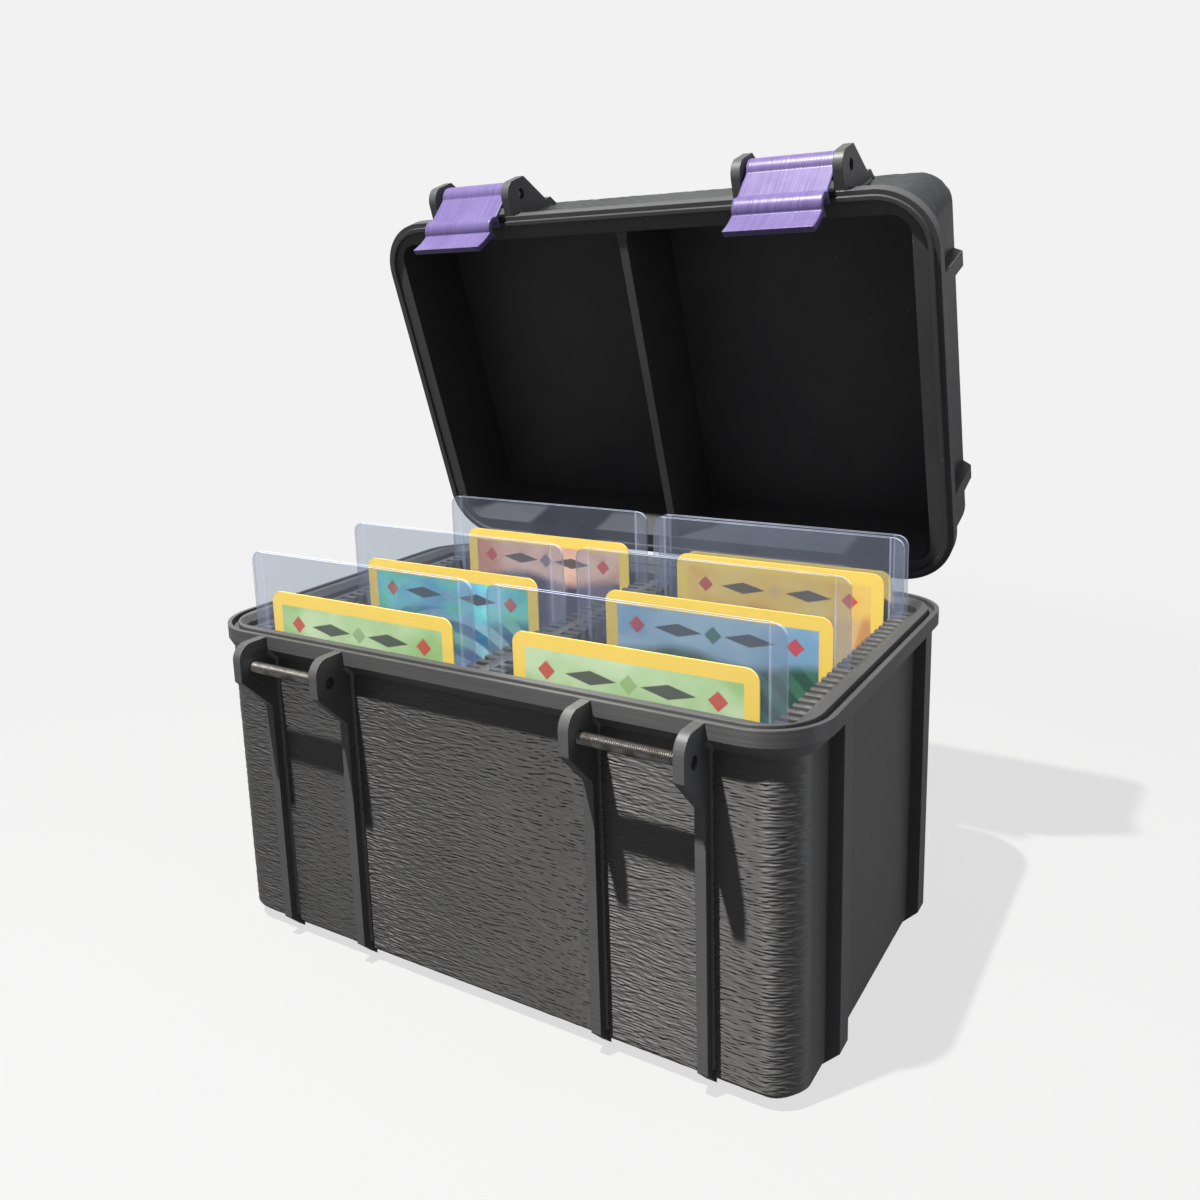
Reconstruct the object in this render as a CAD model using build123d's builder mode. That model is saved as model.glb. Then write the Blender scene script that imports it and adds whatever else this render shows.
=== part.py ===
from build123d import *
import os

# Card storage box with a hinged lid, in millimetres.
# +X is right, -Y is the latch side and +Z is up; the origin is the middle of the underside.
# The lid stands open and the two latches hang from it.

# Cards, and the rigid clear sleeve that holds each one
card_width = 63.0
card_height = 88.0
card_thickness = 0.4
card_radius = 3.2
card_side_play = 2.6
card_face_play = 0.5
card_headroom = 10.6
sleeve_band = 4.0
sleeve_band_thickness = 1.0
sleeve_sheet = 0.4
sleeve_foot = 3.0
sleeve_radius = 3.0

# Slot racks inside the base
slot_count = 25
slot_play = 0.5
tooth_width = 1.5
tooth_tip_clearance = 0.3
slot_end_margin = 5.1
sleeve_side_play = 0.7
rack_plate = 1.8
rack_web = 3.0
rack_clearance = 0.1
rack_ledge = 2.6
rack_drop = 3.0

# Base tub and the rim it shares with the lid
sleeve_show = 19.2
floor_thickness = 3.0
wall_thickness = 3.5
wall_radius = 9.0
bottom_chamfer = 4.0
rim_overhang = 3.1
rim_face = 3.8
rim_radius = 16.0
lip_chamfer = 1.6
groove_inset = 1.1
groove_width = 1.8
groove_depth = 1.6

# Lid
lid_gap = 0.15
lid_depth = 27.05
lid_top = 3.0
lid_round = 4.5
lid_open = 72.0
tongue_clearance = 0.3
tongue_height = 0.8
divider_thickness = 2.6
divider_recess = 0.3
divider_flare = 0.6
divider_flare_length = 3.0

# Ribs, and the ears that carry the screws
rib_embed = 1.5
rib_foot_clearance = 1.1
lid_rib_setback = 8.0
side_rib_thickness = 5.6
side_rib_inset = 23.7
lid_side_rib_thickness = 4.0
lid_side_rib_inset = 24.9
ear_thickness = 2.6
ear_pair_inset = 37.4
ear_relief = 0.2
ear_round = 4.2
ear_front_margin = 4.55
ear_foot_margin = 2.9
latch_gap = 24.6
pin_out = 4.85
pin_drop = 6.9

# Screws
screw_radius = 1.5
screw_tip_recess = 0.8
head_radius = 2.75
head_height = 1.4
head_clearance = 0.1
key_radius = 1.15
key_depth = 0.9
bore_clearance = 0.05

# Hinge at the back
hinge_out = 4.0
hinge_drop = 2.0
knuckle_gap = 0.5
lug_side_clearance = 0.2
lug_embed = 1.0
lug_lead = 0.4

# Latches
latch_side_clearance = 0.3
barrel_gap = 1.2
web_root = 3.2
web_foot = 2.3
web_thickness = 1.3
hook_clearance = 0.2
hook_wall = 1.6
upper_prong = 1.7
upper_prong_tip = 0.5
lower_prong = 2.2
lower_prong_tip = 0.6
tab_length = 7.1
tab_thickness = 1.9
tab_root = 1.2
tab_kick = 1.0
latch_hang = 28.0

# Sizes that follow from the ones above
pocket_width = card_width + 2 * card_side_play
pocket_thickness = card_thickness + card_face_play
sleeve_width = pocket_width + 2 * sleeve_band
sleeve_height = sleeve_foot + card_height + card_headroom
sleeve_thickness = pocket_thickness + 2 * sleeve_sheet
slot_pitch = sleeve_thickness + slot_play + tooth_width
bay_width = sleeve_width + 2 * sleeve_side_play
tooth_reach = sleeve_side_play + sleeve_band - tooth_tip_clearance
plate_face = rack_web / 2 + bay_width
column_x = rack_web / 2 + bay_width / 2

inner_x = plate_face + rack_plate + rack_clearance
inner_y = (slot_count - 1) * slot_pitch / 2 + slot_end_margin
wall_x = inner_x + wall_thickness
wall_y = inner_y + wall_thickness
rim_x = wall_x + rim_overhang
rim_y = wall_y + rim_overhang
inner_radius = wall_radius - wall_thickness
tongue_inset = groove_inset + tongue_clearance
tongue_width = groove_width - 2 * tongue_clearance

sleeve_seat = floor_thickness + rack_ledge
sleeve_top = sleeve_seat + sleeve_height
base_height = sleeve_top - sleeve_show
rack_height = base_height - rack_drop - floor_thickness
rack_length = 2 * (inner_y - rack_clearance)
lid_z = base_height + lid_gap
lid_roof_z = lid_z + lid_depth
lid_top_z = lid_roof_z + lid_top

rib_run = rim_overhang + rib_embed
rib_foot = rib_run + rib_foot_clearance
lid_rib_end = lid_top_z - lid_rib_setback
ear_reach = pin_out + ear_front_margin
ear_depth = pin_drop + ear_foot_margin
pair_half = latch_gap / 2 + ear_thickness
ear_offset = latch_gap / 2 + ear_thickness / 2
pin_y = -(rim_y + pin_out)
catch_z = base_height - pin_drop
pivot_z = lid_z + pin_drop
hook_drop = pivot_z - catch_z

bore_radius = screw_radius + bore_clearance
knuckle_radius = hinge_out - knuckle_gap
knuckle_side = knuckle_radius * 0.5**0.5
hinge_y = rim_y + hinge_out
hinge_z = base_height - hinge_drop
hinge_axis = Axis((0, hinge_y, hinge_z), (1, 0, 0))
pivot_axis = Axis((0, pin_y, pivot_z), (1, 0, 0))

ear_pair_centre = rim_x - ear_pair_inset
pair_centres = {"left": -ear_pair_centre, "right": ear_pair_centre}
latch_screw_ways = {"left": 1, "right": 1}
hinge_screw_ways = {"left": 1, "right": -1}
ear_centres = [x + side * ear_offset for x in pair_centres.values() for side in (-1, 1)]
side_rib_centres = (side_rib_inset - rim_y, rim_y - side_rib_inset)
lid_side_rib_centres = (lid_side_rib_inset - rim_y, rim_y - lid_side_rib_inset)
last_slot = slot_count - 1
middle_slot = slot_count // 2 - 1


def save(piece, name):
    """Label one finished piece and write it to its own file."""
    piece.part.label = name
    export_step(piece.part, f"parts/{name}.step")


def swing_open(piece):
    """Turn a piece of the closed lid about the hinge to the angle at which the lid stands."""
    piece.part = piece.part.rotate(hinge_axis, -lid_open)


def outline(half_x, half_y, radius, inset=0.0):
    """Rounded outline of the box at one height, moved in by an inset."""
    return RectangleRounded(2 * (half_x - inset), 2 * (half_y - inset), radius - inset)


def latch_ear_points(face_z, rib_end, up):
    """Section of a front rib and its ear; up is 1 on the lid and -1 on the base."""
    inner = -(wall_y - rib_embed)
    front = -rim_y
    tip = front - ear_reach
    foot = face_z + up * ear_depth
    return [
        (inner, face_z),
        (tip, face_z),
        (tip, foot),
        (front, foot + up * ear_reach),
        (front, rib_end),
        (inner, rib_end + up * rib_run),
    ]


def rib_points(wall, start_z, rib_end, up, side):
    """Section of a plain rib that stands flush with the rim, on the wall at the given side."""
    inner = side * (wall - rib_embed)
    face = side * (wall + rim_overhang)
    return [(inner, start_z), (face, start_z), (face, rib_end), (inner, rib_end + up * rib_run)]


def hinge_ear_points():
    """Section of a back rib of the base with the shoulder that carries its hinge knuckle."""
    inner = wall_y - rib_embed
    back = hinge_y + knuckle_side
    low = hinge_z - knuckle_side
    return [
        (inner, base_height - ear_relief),
        (hinge_y, base_height - ear_relief),
        (back, low),
        (rim_y, low - (back - rim_y)),
        (rim_y, rib_foot),
        (inner, rib_foot - rib_run),
    ]


def hinge_shoulder_points():
    """Section of the shoulder behind the rim that runs between the inner hinge ears."""
    inner = wall_y - rib_embed
    back = hinge_y + knuckle_side
    low = hinge_z - knuckle_side
    foot = low - (back - rim_y)
    top = base_height - ear_relief
    return [(inner, top), (hinge_y, top), (back, low), (rim_y, foot), (inner, foot)]


def lug_points():
    """Section of the arm that ties a hinge lug to the lid's rim."""
    root = rim_y - lug_embed
    lead = rim_y + lug_lead
    crown = hinge_z + knuckle_side
    return [
        (root, lid_z),
        (lead, lid_z),
        (hinge_y - knuckle_side, crown),
        (hinge_y + knuckle_side, crown),
        (lead, lid_z + rim_face),
        (root, lid_z + rim_face),
    ]


def screw_holes(y, z, ways):
    """Cut the bores, and the seats of the screw heads, through both pairs of ears."""
    for place, x in pair_centres.items():
        with BuildSketch(Plane.YZ.offset(x)) as bore:
            with Locations((y, z)):
                Circle(bore_radius)
        extrude(bore.sketch, amount=pair_half, both=True, mode=Mode.SUBTRACT)
        with BuildSketch(Plane.YZ.offset(x - ways[place] * pair_half)) as seat:
            with Locations((y, z)):
                Circle(head_radius + head_clearance)
        extrude(seat.sketch, amount=ways[place] * (head_height + bore_clearance), mode=Mode.SUBTRACT)


def make_screw(x, y, z, way):
    """A screw across one pair of ears, with a socket in its head; way is 1 where it points to the right."""
    start = x - way * pair_half
    length = 2 * pair_half - head_height - screw_tip_recess
    with BuildPart() as screw:
        with BuildSketch(Plane.YZ.offset(start)):
            with Locations((y, z)):
                Circle(head_radius)
        extrude(amount=way * head_height)
        with BuildSketch(Plane.YZ.offset(start + way * head_height)):
            with Locations((y, z)):
                Circle(screw_radius)
        extrude(amount=way * length)
        with BuildSketch(Plane.YZ.offset(start)):
            with Locations((y, z)):
                RegularPolygon(key_radius, 6)
        extrude(amount=way * key_depth, mode=Mode.SUBTRACT)
    return screw


def latch_point(along, out):
    """Place a point of the clipped latch: along runs from its pivot to its tab, out faces away."""
    return (pin_y - out, pivot_z - along)


def make_latch(x):
    """A latch on its screw: barrel, web, hook open to the box and a finger tab, hanging in."""
    width = latch_gap - 2 * latch_side_clearance
    barrel = pin_out - barrel_gap
    hook = screw_radius + hook_clearance
    outer = hook + hook_wall
    web_in = web_foot - web_thickness
    tab_start = hook_drop + (outer**2 - tab_root**2) ** 0.5
    tab_end = hook_drop + outer + tab_length
    with BuildPart() as latch:
        with BuildSketch(Plane.YZ.offset(x)):
            with Locations(latch_point(0, 0)):
                Circle(barrel)
            with BuildLine():
                Polyline(
                    latch_point(0, web_root - web_thickness),
                    latch_point(0, web_root),
                    latch_point(hook_drop, web_foot),
                    latch_point(hook_drop, 0),
                    latch_point(hook_drop - hook, -upper_prong),
                    latch_point(hook_drop - hook - upper_prong_tip, -upper_prong),
                    latch_point(hook_drop - outer, web_in),
                    close=True,
                )
            make_face()
            with Locations(latch_point(hook_drop, 0)):
                Circle(outer)
            with BuildLine():
                Polyline(
                    latch_point(hook_drop, 0),
                    latch_point(tab_start, tab_root),
                    latch_point(tab_end, tab_kick + tab_thickness),
                    latch_point(tab_end, tab_kick),
                    latch_point(hook_drop + outer, tab_root - tab_thickness),
                    latch_point(hook_drop + hook + lower_prong_tip, -lower_prong),
                    latch_point(hook_drop + hook, -lower_prong),
                    close=True,
                )
            make_face()
            with BuildLine():
                Polyline(
                    latch_point(hook_drop - hook, 0),
                    latch_point(hook_drop + hook, 0),
                    latch_point(hook_drop + hook, -2 * outer),
                    latch_point(hook_drop - hook, -2 * outer),
                    close=True,
                )
            make_face(mode=Mode.SUBTRACT)
            with BuildLine():
                Polyline(
                    latch_point(hook_drop - hook - upper_prong_tip, -upper_prong),
                    latch_point(hook_drop, -upper_prong),
                    latch_point(hook_drop, -2 * outer),
                    latch_point(hook_drop - outer, -2 * outer),
                    latch_point(hook_drop - 2 * outer, 0),
                    latch_point(hook_drop - outer, web_in),
                    close=True,
                )
            make_face(mode=Mode.SUBTRACT)
            with Locations(latch_point(hook_drop, 0)):
                Circle(hook, mode=Mode.SUBTRACT)
            with Locations(latch_point(0, 0)):
                Circle(bore_radius, mode=Mode.SUBTRACT)
        extrude(amount=width / 2, both=True)
    latch.part = latch.part.rotate(pivot_axis, latch_hang)
    return latch


def make_sleeve(x, y):
    """A rigid clear sleeve: welded bands at the sides and foot, and a pocket open at the top."""
    middle = Plane.XZ.offset(-y)
    with BuildPart() as sleeve:
        with BuildSketch(middle):
            with Locations((x, sleeve_seat + sleeve_height / 2)):
                RectangleRounded(sleeve_width, sleeve_height, sleeve_radius)
        extrude(amount=sleeve_band_thickness / 2, both=True)
        with BuildSketch(middle):
            with Locations((x, (sleeve_seat + sleeve_foot + sleeve_top) / 2)):
                Rectangle(pocket_width, sleeve_height - sleeve_foot)
        extrude(amount=sleeve_thickness / 2, both=True)
        with BuildSketch(middle):
            with Locations((x, (sleeve_seat + sleeve_foot + sleeve_top) / 2)):
                Rectangle(pocket_width, sleeve_height - sleeve_foot)
        extrude(amount=pocket_thickness / 2, both=True, mode=Mode.SUBTRACT)
    return sleeve


def make_card(x, y):
    """A card that stands on the foot of its sleeve's pocket."""
    with BuildPart() as card:
        with BuildSketch(Plane.XZ.offset(-y)):
            with Locations((x, sleeve_seat + sleeve_foot + card_height / 2)):
                RectangleRounded(card_width, card_height, card_radius)
        extrude(amount=card_thickness / 2, both=True)
    return card


def slot_y(index):
    """Middle of a slot, counted from the front."""
    return (index - (slot_count - 1) / 2) * slot_pitch


os.makedirs("parts", exist_ok=True)

# Base tub: walls with a chamfered foot, a rim that overhangs them, ribs, ears and the hollow
with BuildPart() as base_shell:
    with BuildSketch():
        outline(wall_x, wall_y, wall_radius)
    extrude(amount=base_height)
    chamfer(base_shell.faces().sort_by(Axis.Z)[0].edges(), bottom_chamfer)

    with BuildSketch(Plane.XY.offset(base_height - rim_face - rim_overhang)):
        outline(wall_x, wall_y, wall_radius)
    with BuildSketch(Plane.XY.offset(base_height - rim_face)):
        outline(rim_x, rim_y, rim_radius)
    loft(ruled=True)
    with BuildSketch(Plane.XY.offset(base_height - rim_face)):
        outline(rim_x, rim_y, rim_radius)
    extrude(amount=rim_face)

    for ear_x in ear_centres:
        with BuildSketch(Plane.YZ.offset(ear_x)):
            with BuildLine():
                FilletPolyline(
                    *latch_ear_points(base_height - ear_relief, rib_foot, -1),
                    radius=[0, ear_round, 0, 0, 0, 0],
                    close=True,
                )
            make_face()
        extrude(amount=ear_thickness / 2, both=True)
        with BuildSketch(Plane.YZ.offset(ear_x)):
            with BuildLine():
                Polyline(*hinge_ear_points(), close=True)
            make_face()
            with Locations((hinge_y, hinge_z)):
                Circle(knuckle_radius)
        extrude(amount=ear_thickness / 2, both=True)

    with BuildSketch(Plane.YZ):
        with BuildLine():
            Polyline(*hinge_shoulder_points(), close=True)
        make_face()
        with Locations((hinge_y, hinge_z)):
            Circle(knuckle_radius)
    extrude(amount=ear_pair_centre - ear_offset, both=True)

    for rib_y in side_rib_centres:
        for side in (-1, 1):
            with BuildSketch(Plane.XZ.offset(-rib_y)):
                with BuildLine():
                    Polyline(*rib_points(wall_x, base_height - rim_face, rib_foot, -1, side), close=True)
                make_face()
            extrude(amount=side_rib_thickness / 2, both=True)

    with BuildSketch(Plane.XY.offset(floor_thickness)):
        outline(inner_x, inner_y, inner_radius)
    extrude(amount=base_height - floor_thickness, mode=Mode.SUBTRACT)
    with BuildSketch(Plane.XY.offset(base_height - lip_chamfer)):
        outline(inner_x, inner_y, inner_radius)
    with BuildSketch(Plane.XY.offset(base_height)):
        outline(inner_x, inner_y, inner_radius, -lip_chamfer)
    loft(ruled=True, mode=Mode.SUBTRACT)
    with BuildSketch(Plane.XY.offset(base_height)):
        outline(rim_x, rim_y, rim_radius, groove_inset)
        with Locations((0, 0)):
            RectangleRounded(
                2 * (rim_x - groove_inset - groove_width),
                2 * (rim_y - groove_inset - groove_width),
                rim_radius - groove_inset - groove_width,
                mode=Mode.SUBTRACT,
            )
    extrude(amount=-groove_depth, mode=Mode.SUBTRACT)

    screw_holes(pin_y, catch_z, latch_screw_ways)
    screw_holes(hinge_y, hinge_z, hinge_screw_ways)
save(base_shell, "base_shell")

# Side racks: a toothed plate against each side wall, with a ledge at its foot for the sleeves
for rack_side, rack_name in ((-1, "left_slot_rack"), (1, "right_slot_rack")):
    with BuildPart() as side_rack:
        with BuildSketch(Plane.XY.offset(floor_thickness)):
            outline(inner_x, inner_y, inner_radius, rack_clearance)
            with Locations((rack_side * (plate_face - inner_x), 0)):
                Rectangle(2 * inner_x, 2 * inner_y, mode=Mode.SUBTRACT)
            with Locations((rack_side * (plate_face - tooth_reach / 2), 0)):
                with GridLocations(0, slot_pitch, 1, slot_count + 1):
                    Rectangle(tooth_reach, tooth_width)
        extrude(amount=rack_height)
        with BuildSketch(Plane.XY.offset(floor_thickness)):
            with Locations((rack_side * (plate_face - tooth_reach / 2), 0)):
                Rectangle(tooth_reach, slot_count * slot_pitch)
        extrude(amount=rack_ledge)
    save(side_rack, rack_name)

# Centre rack: a web across the box with teeth on both sides
with BuildPart() as centre_rack:
    with BuildSketch(Plane.XY.offset(floor_thickness)):
        Rectangle(rack_web, rack_length)
        with GridLocations(0, slot_pitch, 1, slot_count + 1):
            Rectangle(rack_web + 2 * tooth_reach, tooth_width)
    extrude(amount=rack_height)
    with BuildSketch(Plane.XY.offset(floor_thickness)):
        Rectangle(rack_web + 2 * tooth_reach, slot_count * slot_pitch)
    extrude(amount=rack_ledge)
save(centre_rack, "centre_slot_rack")

# Lid shell: made closed on the base, then swung open
with BuildPart() as lid_shell:
    with BuildSketch(Plane.XY.offset(lid_z)):
        outline(wall_x, wall_y, wall_radius)
    extrude(amount=lid_top_z - lid_z)
    fillet(lid_shell.faces().sort_by(Axis.Z)[-1].edges(), lid_round)

    with BuildSketch(Plane.XY.offset(lid_z)):
        outline(rim_x, rim_y, rim_radius)
    extrude(amount=rim_face)
    with BuildSketch(Plane.XY.offset(lid_z + rim_face)):
        outline(rim_x, rim_y, rim_radius)
    with BuildSketch(Plane.XY.offset(lid_z + rim_face + rim_overhang)):
        outline(wall_x, wall_y, wall_radius)
    loft(ruled=True)

    for ear_x in ear_centres:
        with BuildSketch(Plane.YZ.offset(ear_x)):
            with BuildLine():
                FilletPolyline(
                    *latch_ear_points(lid_z + ear_relief, lid_rib_end, 1),
                    radius=[0, ear_round, 0, 0, 0, 0],
                    close=True,
                )
            make_face()
            with BuildLine():
                Polyline(*rib_points(wall_y, lid_z + rim_face, lid_rib_end, 1, 1), close=True)
            make_face()
        extrude(amount=ear_thickness / 2, both=True)

    for rib_y in lid_side_rib_centres:
        for side in (-1, 1):
            with BuildSketch(Plane.XZ.offset(-rib_y)):
                with BuildLine():
                    Polyline(*rib_points(wall_x, lid_z + rim_face, lid_rib_end, 1, side), close=True)
                make_face()
            extrude(amount=lid_side_rib_thickness / 2, both=True)

    for lug_x in pair_centres.values():
        with BuildSketch(Plane.YZ.offset(lug_x)):
            with BuildLine():
                Polyline(*lug_points(), close=True)
            make_face()
            with Locations((hinge_y, hinge_z)):
                Circle(knuckle_radius)
        extrude(amount=latch_gap / 2 - lug_side_clearance, both=True)

    with BuildSketch(Plane.XY.offset(lid_z)):
        outline(inner_x, inner_y, inner_radius)
    extrude(amount=lid_roof_z - lid_z, mode=Mode.SUBTRACT)
    with BuildSketch(Plane.XY.offset(lid_z)):
        outline(rim_x, rim_y, rim_radius, tongue_inset)
        RectangleRounded(
            2 * (rim_x - tongue_inset - tongue_width),
            2 * (rim_y - tongue_inset - tongue_width),
            rim_radius - tongue_inset - tongue_width,
            mode=Mode.SUBTRACT,
        )
    extrude(amount=-tongue_height)

    screw_holes(pin_y, pivot_z, latch_screw_ways)
    for lug_x in pair_centres.values():
        with BuildSketch(Plane.YZ.offset(lug_x)):
            with Locations((hinge_y, hinge_z)):
                Circle(bore_radius)
        extrude(amount=latch_gap / 2, both=True, mode=Mode.SUBTRACT)
swing_open(lid_shell)
save(lid_shell, "lid_shell")

# Divider wall inside the lid, flared where it meets the front and back walls
with BuildPart() as lid_divider:
    with BuildSketch(Plane.XY.offset(lid_z + divider_recess)):
        Rectangle(divider_thickness, 2 * inner_y)
        for end in (-1, 1):
            with BuildLine():
                Polyline(
                    (-divider_thickness / 2 - divider_flare, end * inner_y),
                    (divider_thickness / 2 + divider_flare, end * inner_y),
                    (divider_thickness / 2, end * (inner_y - divider_flare_length)),
                    (-divider_thickness / 2, end * (inner_y - divider_flare_length)),
                    close=True,
                )
            make_face()
    extrude(amount=lid_roof_z - lid_z - divider_recess)
swing_open(lid_divider)
save(lid_divider, "lid_divider")

# Screws and latches, one set for each pair of ears
for place, pair_x in pair_centres.items():
    save(make_screw(pair_x, pin_y, catch_z, latch_screw_ways[place]), f"catch_screw_{place}")
    save(make_screw(pair_x, hinge_y, hinge_z, hinge_screw_ways[place]), f"hinge_screw_{place}")
    latch_screw = make_screw(pair_x, pin_y, pivot_z, latch_screw_ways[place])
    latch_screw.part = latch_screw.part.rotate(pivot_axis, latch_hang)
    swing_open(latch_screw)
    save(latch_screw, f"latch_screw_{place}")
    latch = make_latch(pair_x)
    swing_open(latch)
    save(latch, f"latch_{place}")

# Sleeves and cards: column, slot and how far the card has slid in its pocket, as a share of its play
stored = {
    "front_left": (-1, 0, 0.0),
    "middle_left": (-1, middle_slot, -0.8),
    "back_left": (-1, last_slot, 0.0),
    "front_right": (1, 0, 0.2),
    "middle_right": (1, middle_slot, 0.9),
    "next_right": (1, last_slot - 1, 0.5),
    "back_right": (1, last_slot, 0.9),
}
for place, (column, slot, shift) in stored.items():
    save(make_sleeve(column * column_x, slot_y(slot)), f"sleeve_{place}")
    save(make_card(column * column_x + shift * card_side_play, slot_y(slot)), f"card_{place}")
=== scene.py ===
"""Dresses the card storage box: textured printed walls, threaded screws, silky latches, clear sleeves and cards.

All sizes are in millimetres in the frame of the closed box and become metres when a mesh is made.
The lid and what hangs from it are worked out closed and then swung to where they stand.
"""

from __future__ import annotations

import logging
import math
from dataclasses import dataclass
from enum import Enum
from typing import Sequence

import bpy
import numpy as np
from mathutils import Matrix
from mathutils.geometry import tessellate_polygon

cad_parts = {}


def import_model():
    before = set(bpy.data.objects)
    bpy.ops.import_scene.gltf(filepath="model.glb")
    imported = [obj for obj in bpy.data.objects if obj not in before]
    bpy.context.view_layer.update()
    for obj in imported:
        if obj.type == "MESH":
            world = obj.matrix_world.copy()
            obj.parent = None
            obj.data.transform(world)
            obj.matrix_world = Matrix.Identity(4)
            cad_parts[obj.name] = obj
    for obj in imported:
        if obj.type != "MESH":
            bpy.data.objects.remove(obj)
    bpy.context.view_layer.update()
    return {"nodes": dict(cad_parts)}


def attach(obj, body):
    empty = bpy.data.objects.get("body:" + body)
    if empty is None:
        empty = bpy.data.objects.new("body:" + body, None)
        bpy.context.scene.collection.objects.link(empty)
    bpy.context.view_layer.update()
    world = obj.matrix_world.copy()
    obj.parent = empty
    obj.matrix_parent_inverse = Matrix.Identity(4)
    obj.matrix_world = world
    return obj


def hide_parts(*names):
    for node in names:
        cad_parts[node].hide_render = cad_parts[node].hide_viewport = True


LOG = logging.getLogger("card_box")
FULL_TURN = 2 * math.pi
SIDES = (-1.0, 1.0)
Colour = tuple[float, float, float]
Vector = tuple[float, float, float]
Socket = bpy.types.NodeSocket


@dataclass(frozen=True)
class BoxSizes:
    """Sizes that the sub-assemblies share."""

    wall_x: float = 84.5
    wall_y: float = 53.0
    wall_radius: float = 9.0
    rim_overhang: float = 3.1
    rim_face: float = 3.8
    base_height: float = 88.0
    bottom_chamfer: float = 4.0
    lid_z: float = 88.15
    lid_top_z: float = 118.2
    lid_round: float = 4.5
    lid_rib_end: float = 110.2
    rib_foot: float = 5.7
    rib_centres: tuple[float, ...] = (-63.8, -36.6, 36.6, 63.8)
    rib_thickness: float = 2.6
    pair_centre: float = 50.2
    pair_half: float = 14.9
    pin_y: float = -60.95
    catch_z: float = 81.1
    pivot_z: float = 95.05
    hinge_y: float = 60.1
    hinge_z: float = 86.0
    lid_open: float = 72.0
    latch_hang: float = 28.0

    def lid_swing(self, points: np.ndarray) -> np.ndarray:
        """Turn points of the closed lid to where the lid stands open."""
        return swing(points, self.lid_open, self.hinge_y, self.hinge_z)

    def latch_swing(self, points: np.ndarray) -> np.ndarray:
        """Turn points of the clipped latch to where it hangs from the open lid."""
        return self.lid_swing(swing(points, -self.latch_hang, self.pin_y, self.pivot_z))


SIZES = BoxSizes()


def swing(points: np.ndarray, degrees: float, y: float, z: float) -> np.ndarray:
    """Turn points about a line along X; the way in which the lid opens is positive.

    Args:
        points: Array of points, one in each row.
        degrees: Angle of the turn.
        y: Place of the line along Y.
        z: Place of the line along Z.

    Returns:
        The turned points.
    """
    c, s = math.cos(math.radians(degrees)), math.sin(math.radians(degrees))
    dy, dz = points[:, 1] - y, points[:, 2] - z
    return np.column_stack([points[:, 0], y + dy * c + dz * s, z - dy * s + dz * c])


def smooth_step(t: np.ndarray) -> np.ndarray:
    """Cubic step of values from 0 to 1, level at both ends."""
    return t * t * (3 - 2 * t)


def value_noise(u: np.ndarray, v: np.ndarray, seed: int, size: int = 256) -> np.ndarray:
    """Random heights on a unit lattice, joined by smooth cubic steps, from -1 to 1.

    Args:
        u: First lattice coordinate.
        v: Second lattice coordinate.
        seed: Seed of the lattice's heights.
        size: Number of heights each way before the lattice repeats.

    Returns:
        Heights of the shape of u and v.
    """
    table = np.random.default_rng(seed).uniform(-1.0, 1.0, (size, size))
    i, j = np.floor(u).astype(int), np.floor(v).astype(int)
    f, g = smooth_step(u - i), smooth_step(v - j)
    i0, i1, j0, j1 = i % size, (i + 1) % size, j % size, (j + 1) % size
    low = table[i0, j0] * (1 - f) + table[i1, j0] * f
    high = table[i0, j1] * (1 - f) + table[i1, j1] * f
    return low * (1 - g) + high * g


def grid_quads(rows: int, columns: int, wrap: bool = False) -> np.ndarray:
    """Quads of a grid of points stored row by row; wrap joins the last column to the first.

    Args:
        rows: Number of rows.
        columns: Number of columns.
        wrap: Whether the columns close to a ring.

    Returns:
        Array of four point indices for each quad.
    """
    last = columns if wrap else columns - 1
    r, c = np.meshgrid(np.arange(rows - 1), np.arange(last), indexing="ij")
    n = (c + 1) % columns
    quads = np.stack([r * columns + c, r * columns + n, (r + 1) * columns + n, (r + 1) * columns + c], axis=-1)
    return quads.reshape(-1, 4)


def strip_quads(low: np.ndarray, high: np.ndarray, wrap: bool = True) -> np.ndarray:
    """Quads between two rows of point indices; wrap joins the last point to the first."""
    quads = np.stack([low, np.roll(low, -1), np.roll(high, -1), high], axis=-1)
    return quads if wrap else quads[:-1]


def rim_loop(rows: int, columns: int) -> np.ndarray:
    """Indices of the points round the rim of a grid, along its first row first.

    Args:
        rows: Number of rows.
        columns: Number of columns.

    Returns:
        The loop of indices.
    """
    return np.concatenate([
        np.arange(columns),
        np.arange(1, rows) * columns + columns - 1,
        (rows - 1) * columns + np.arange(columns - 2, -1, -1),
        np.arange(rows - 2, 0, -1) * columns,
    ])


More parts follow.
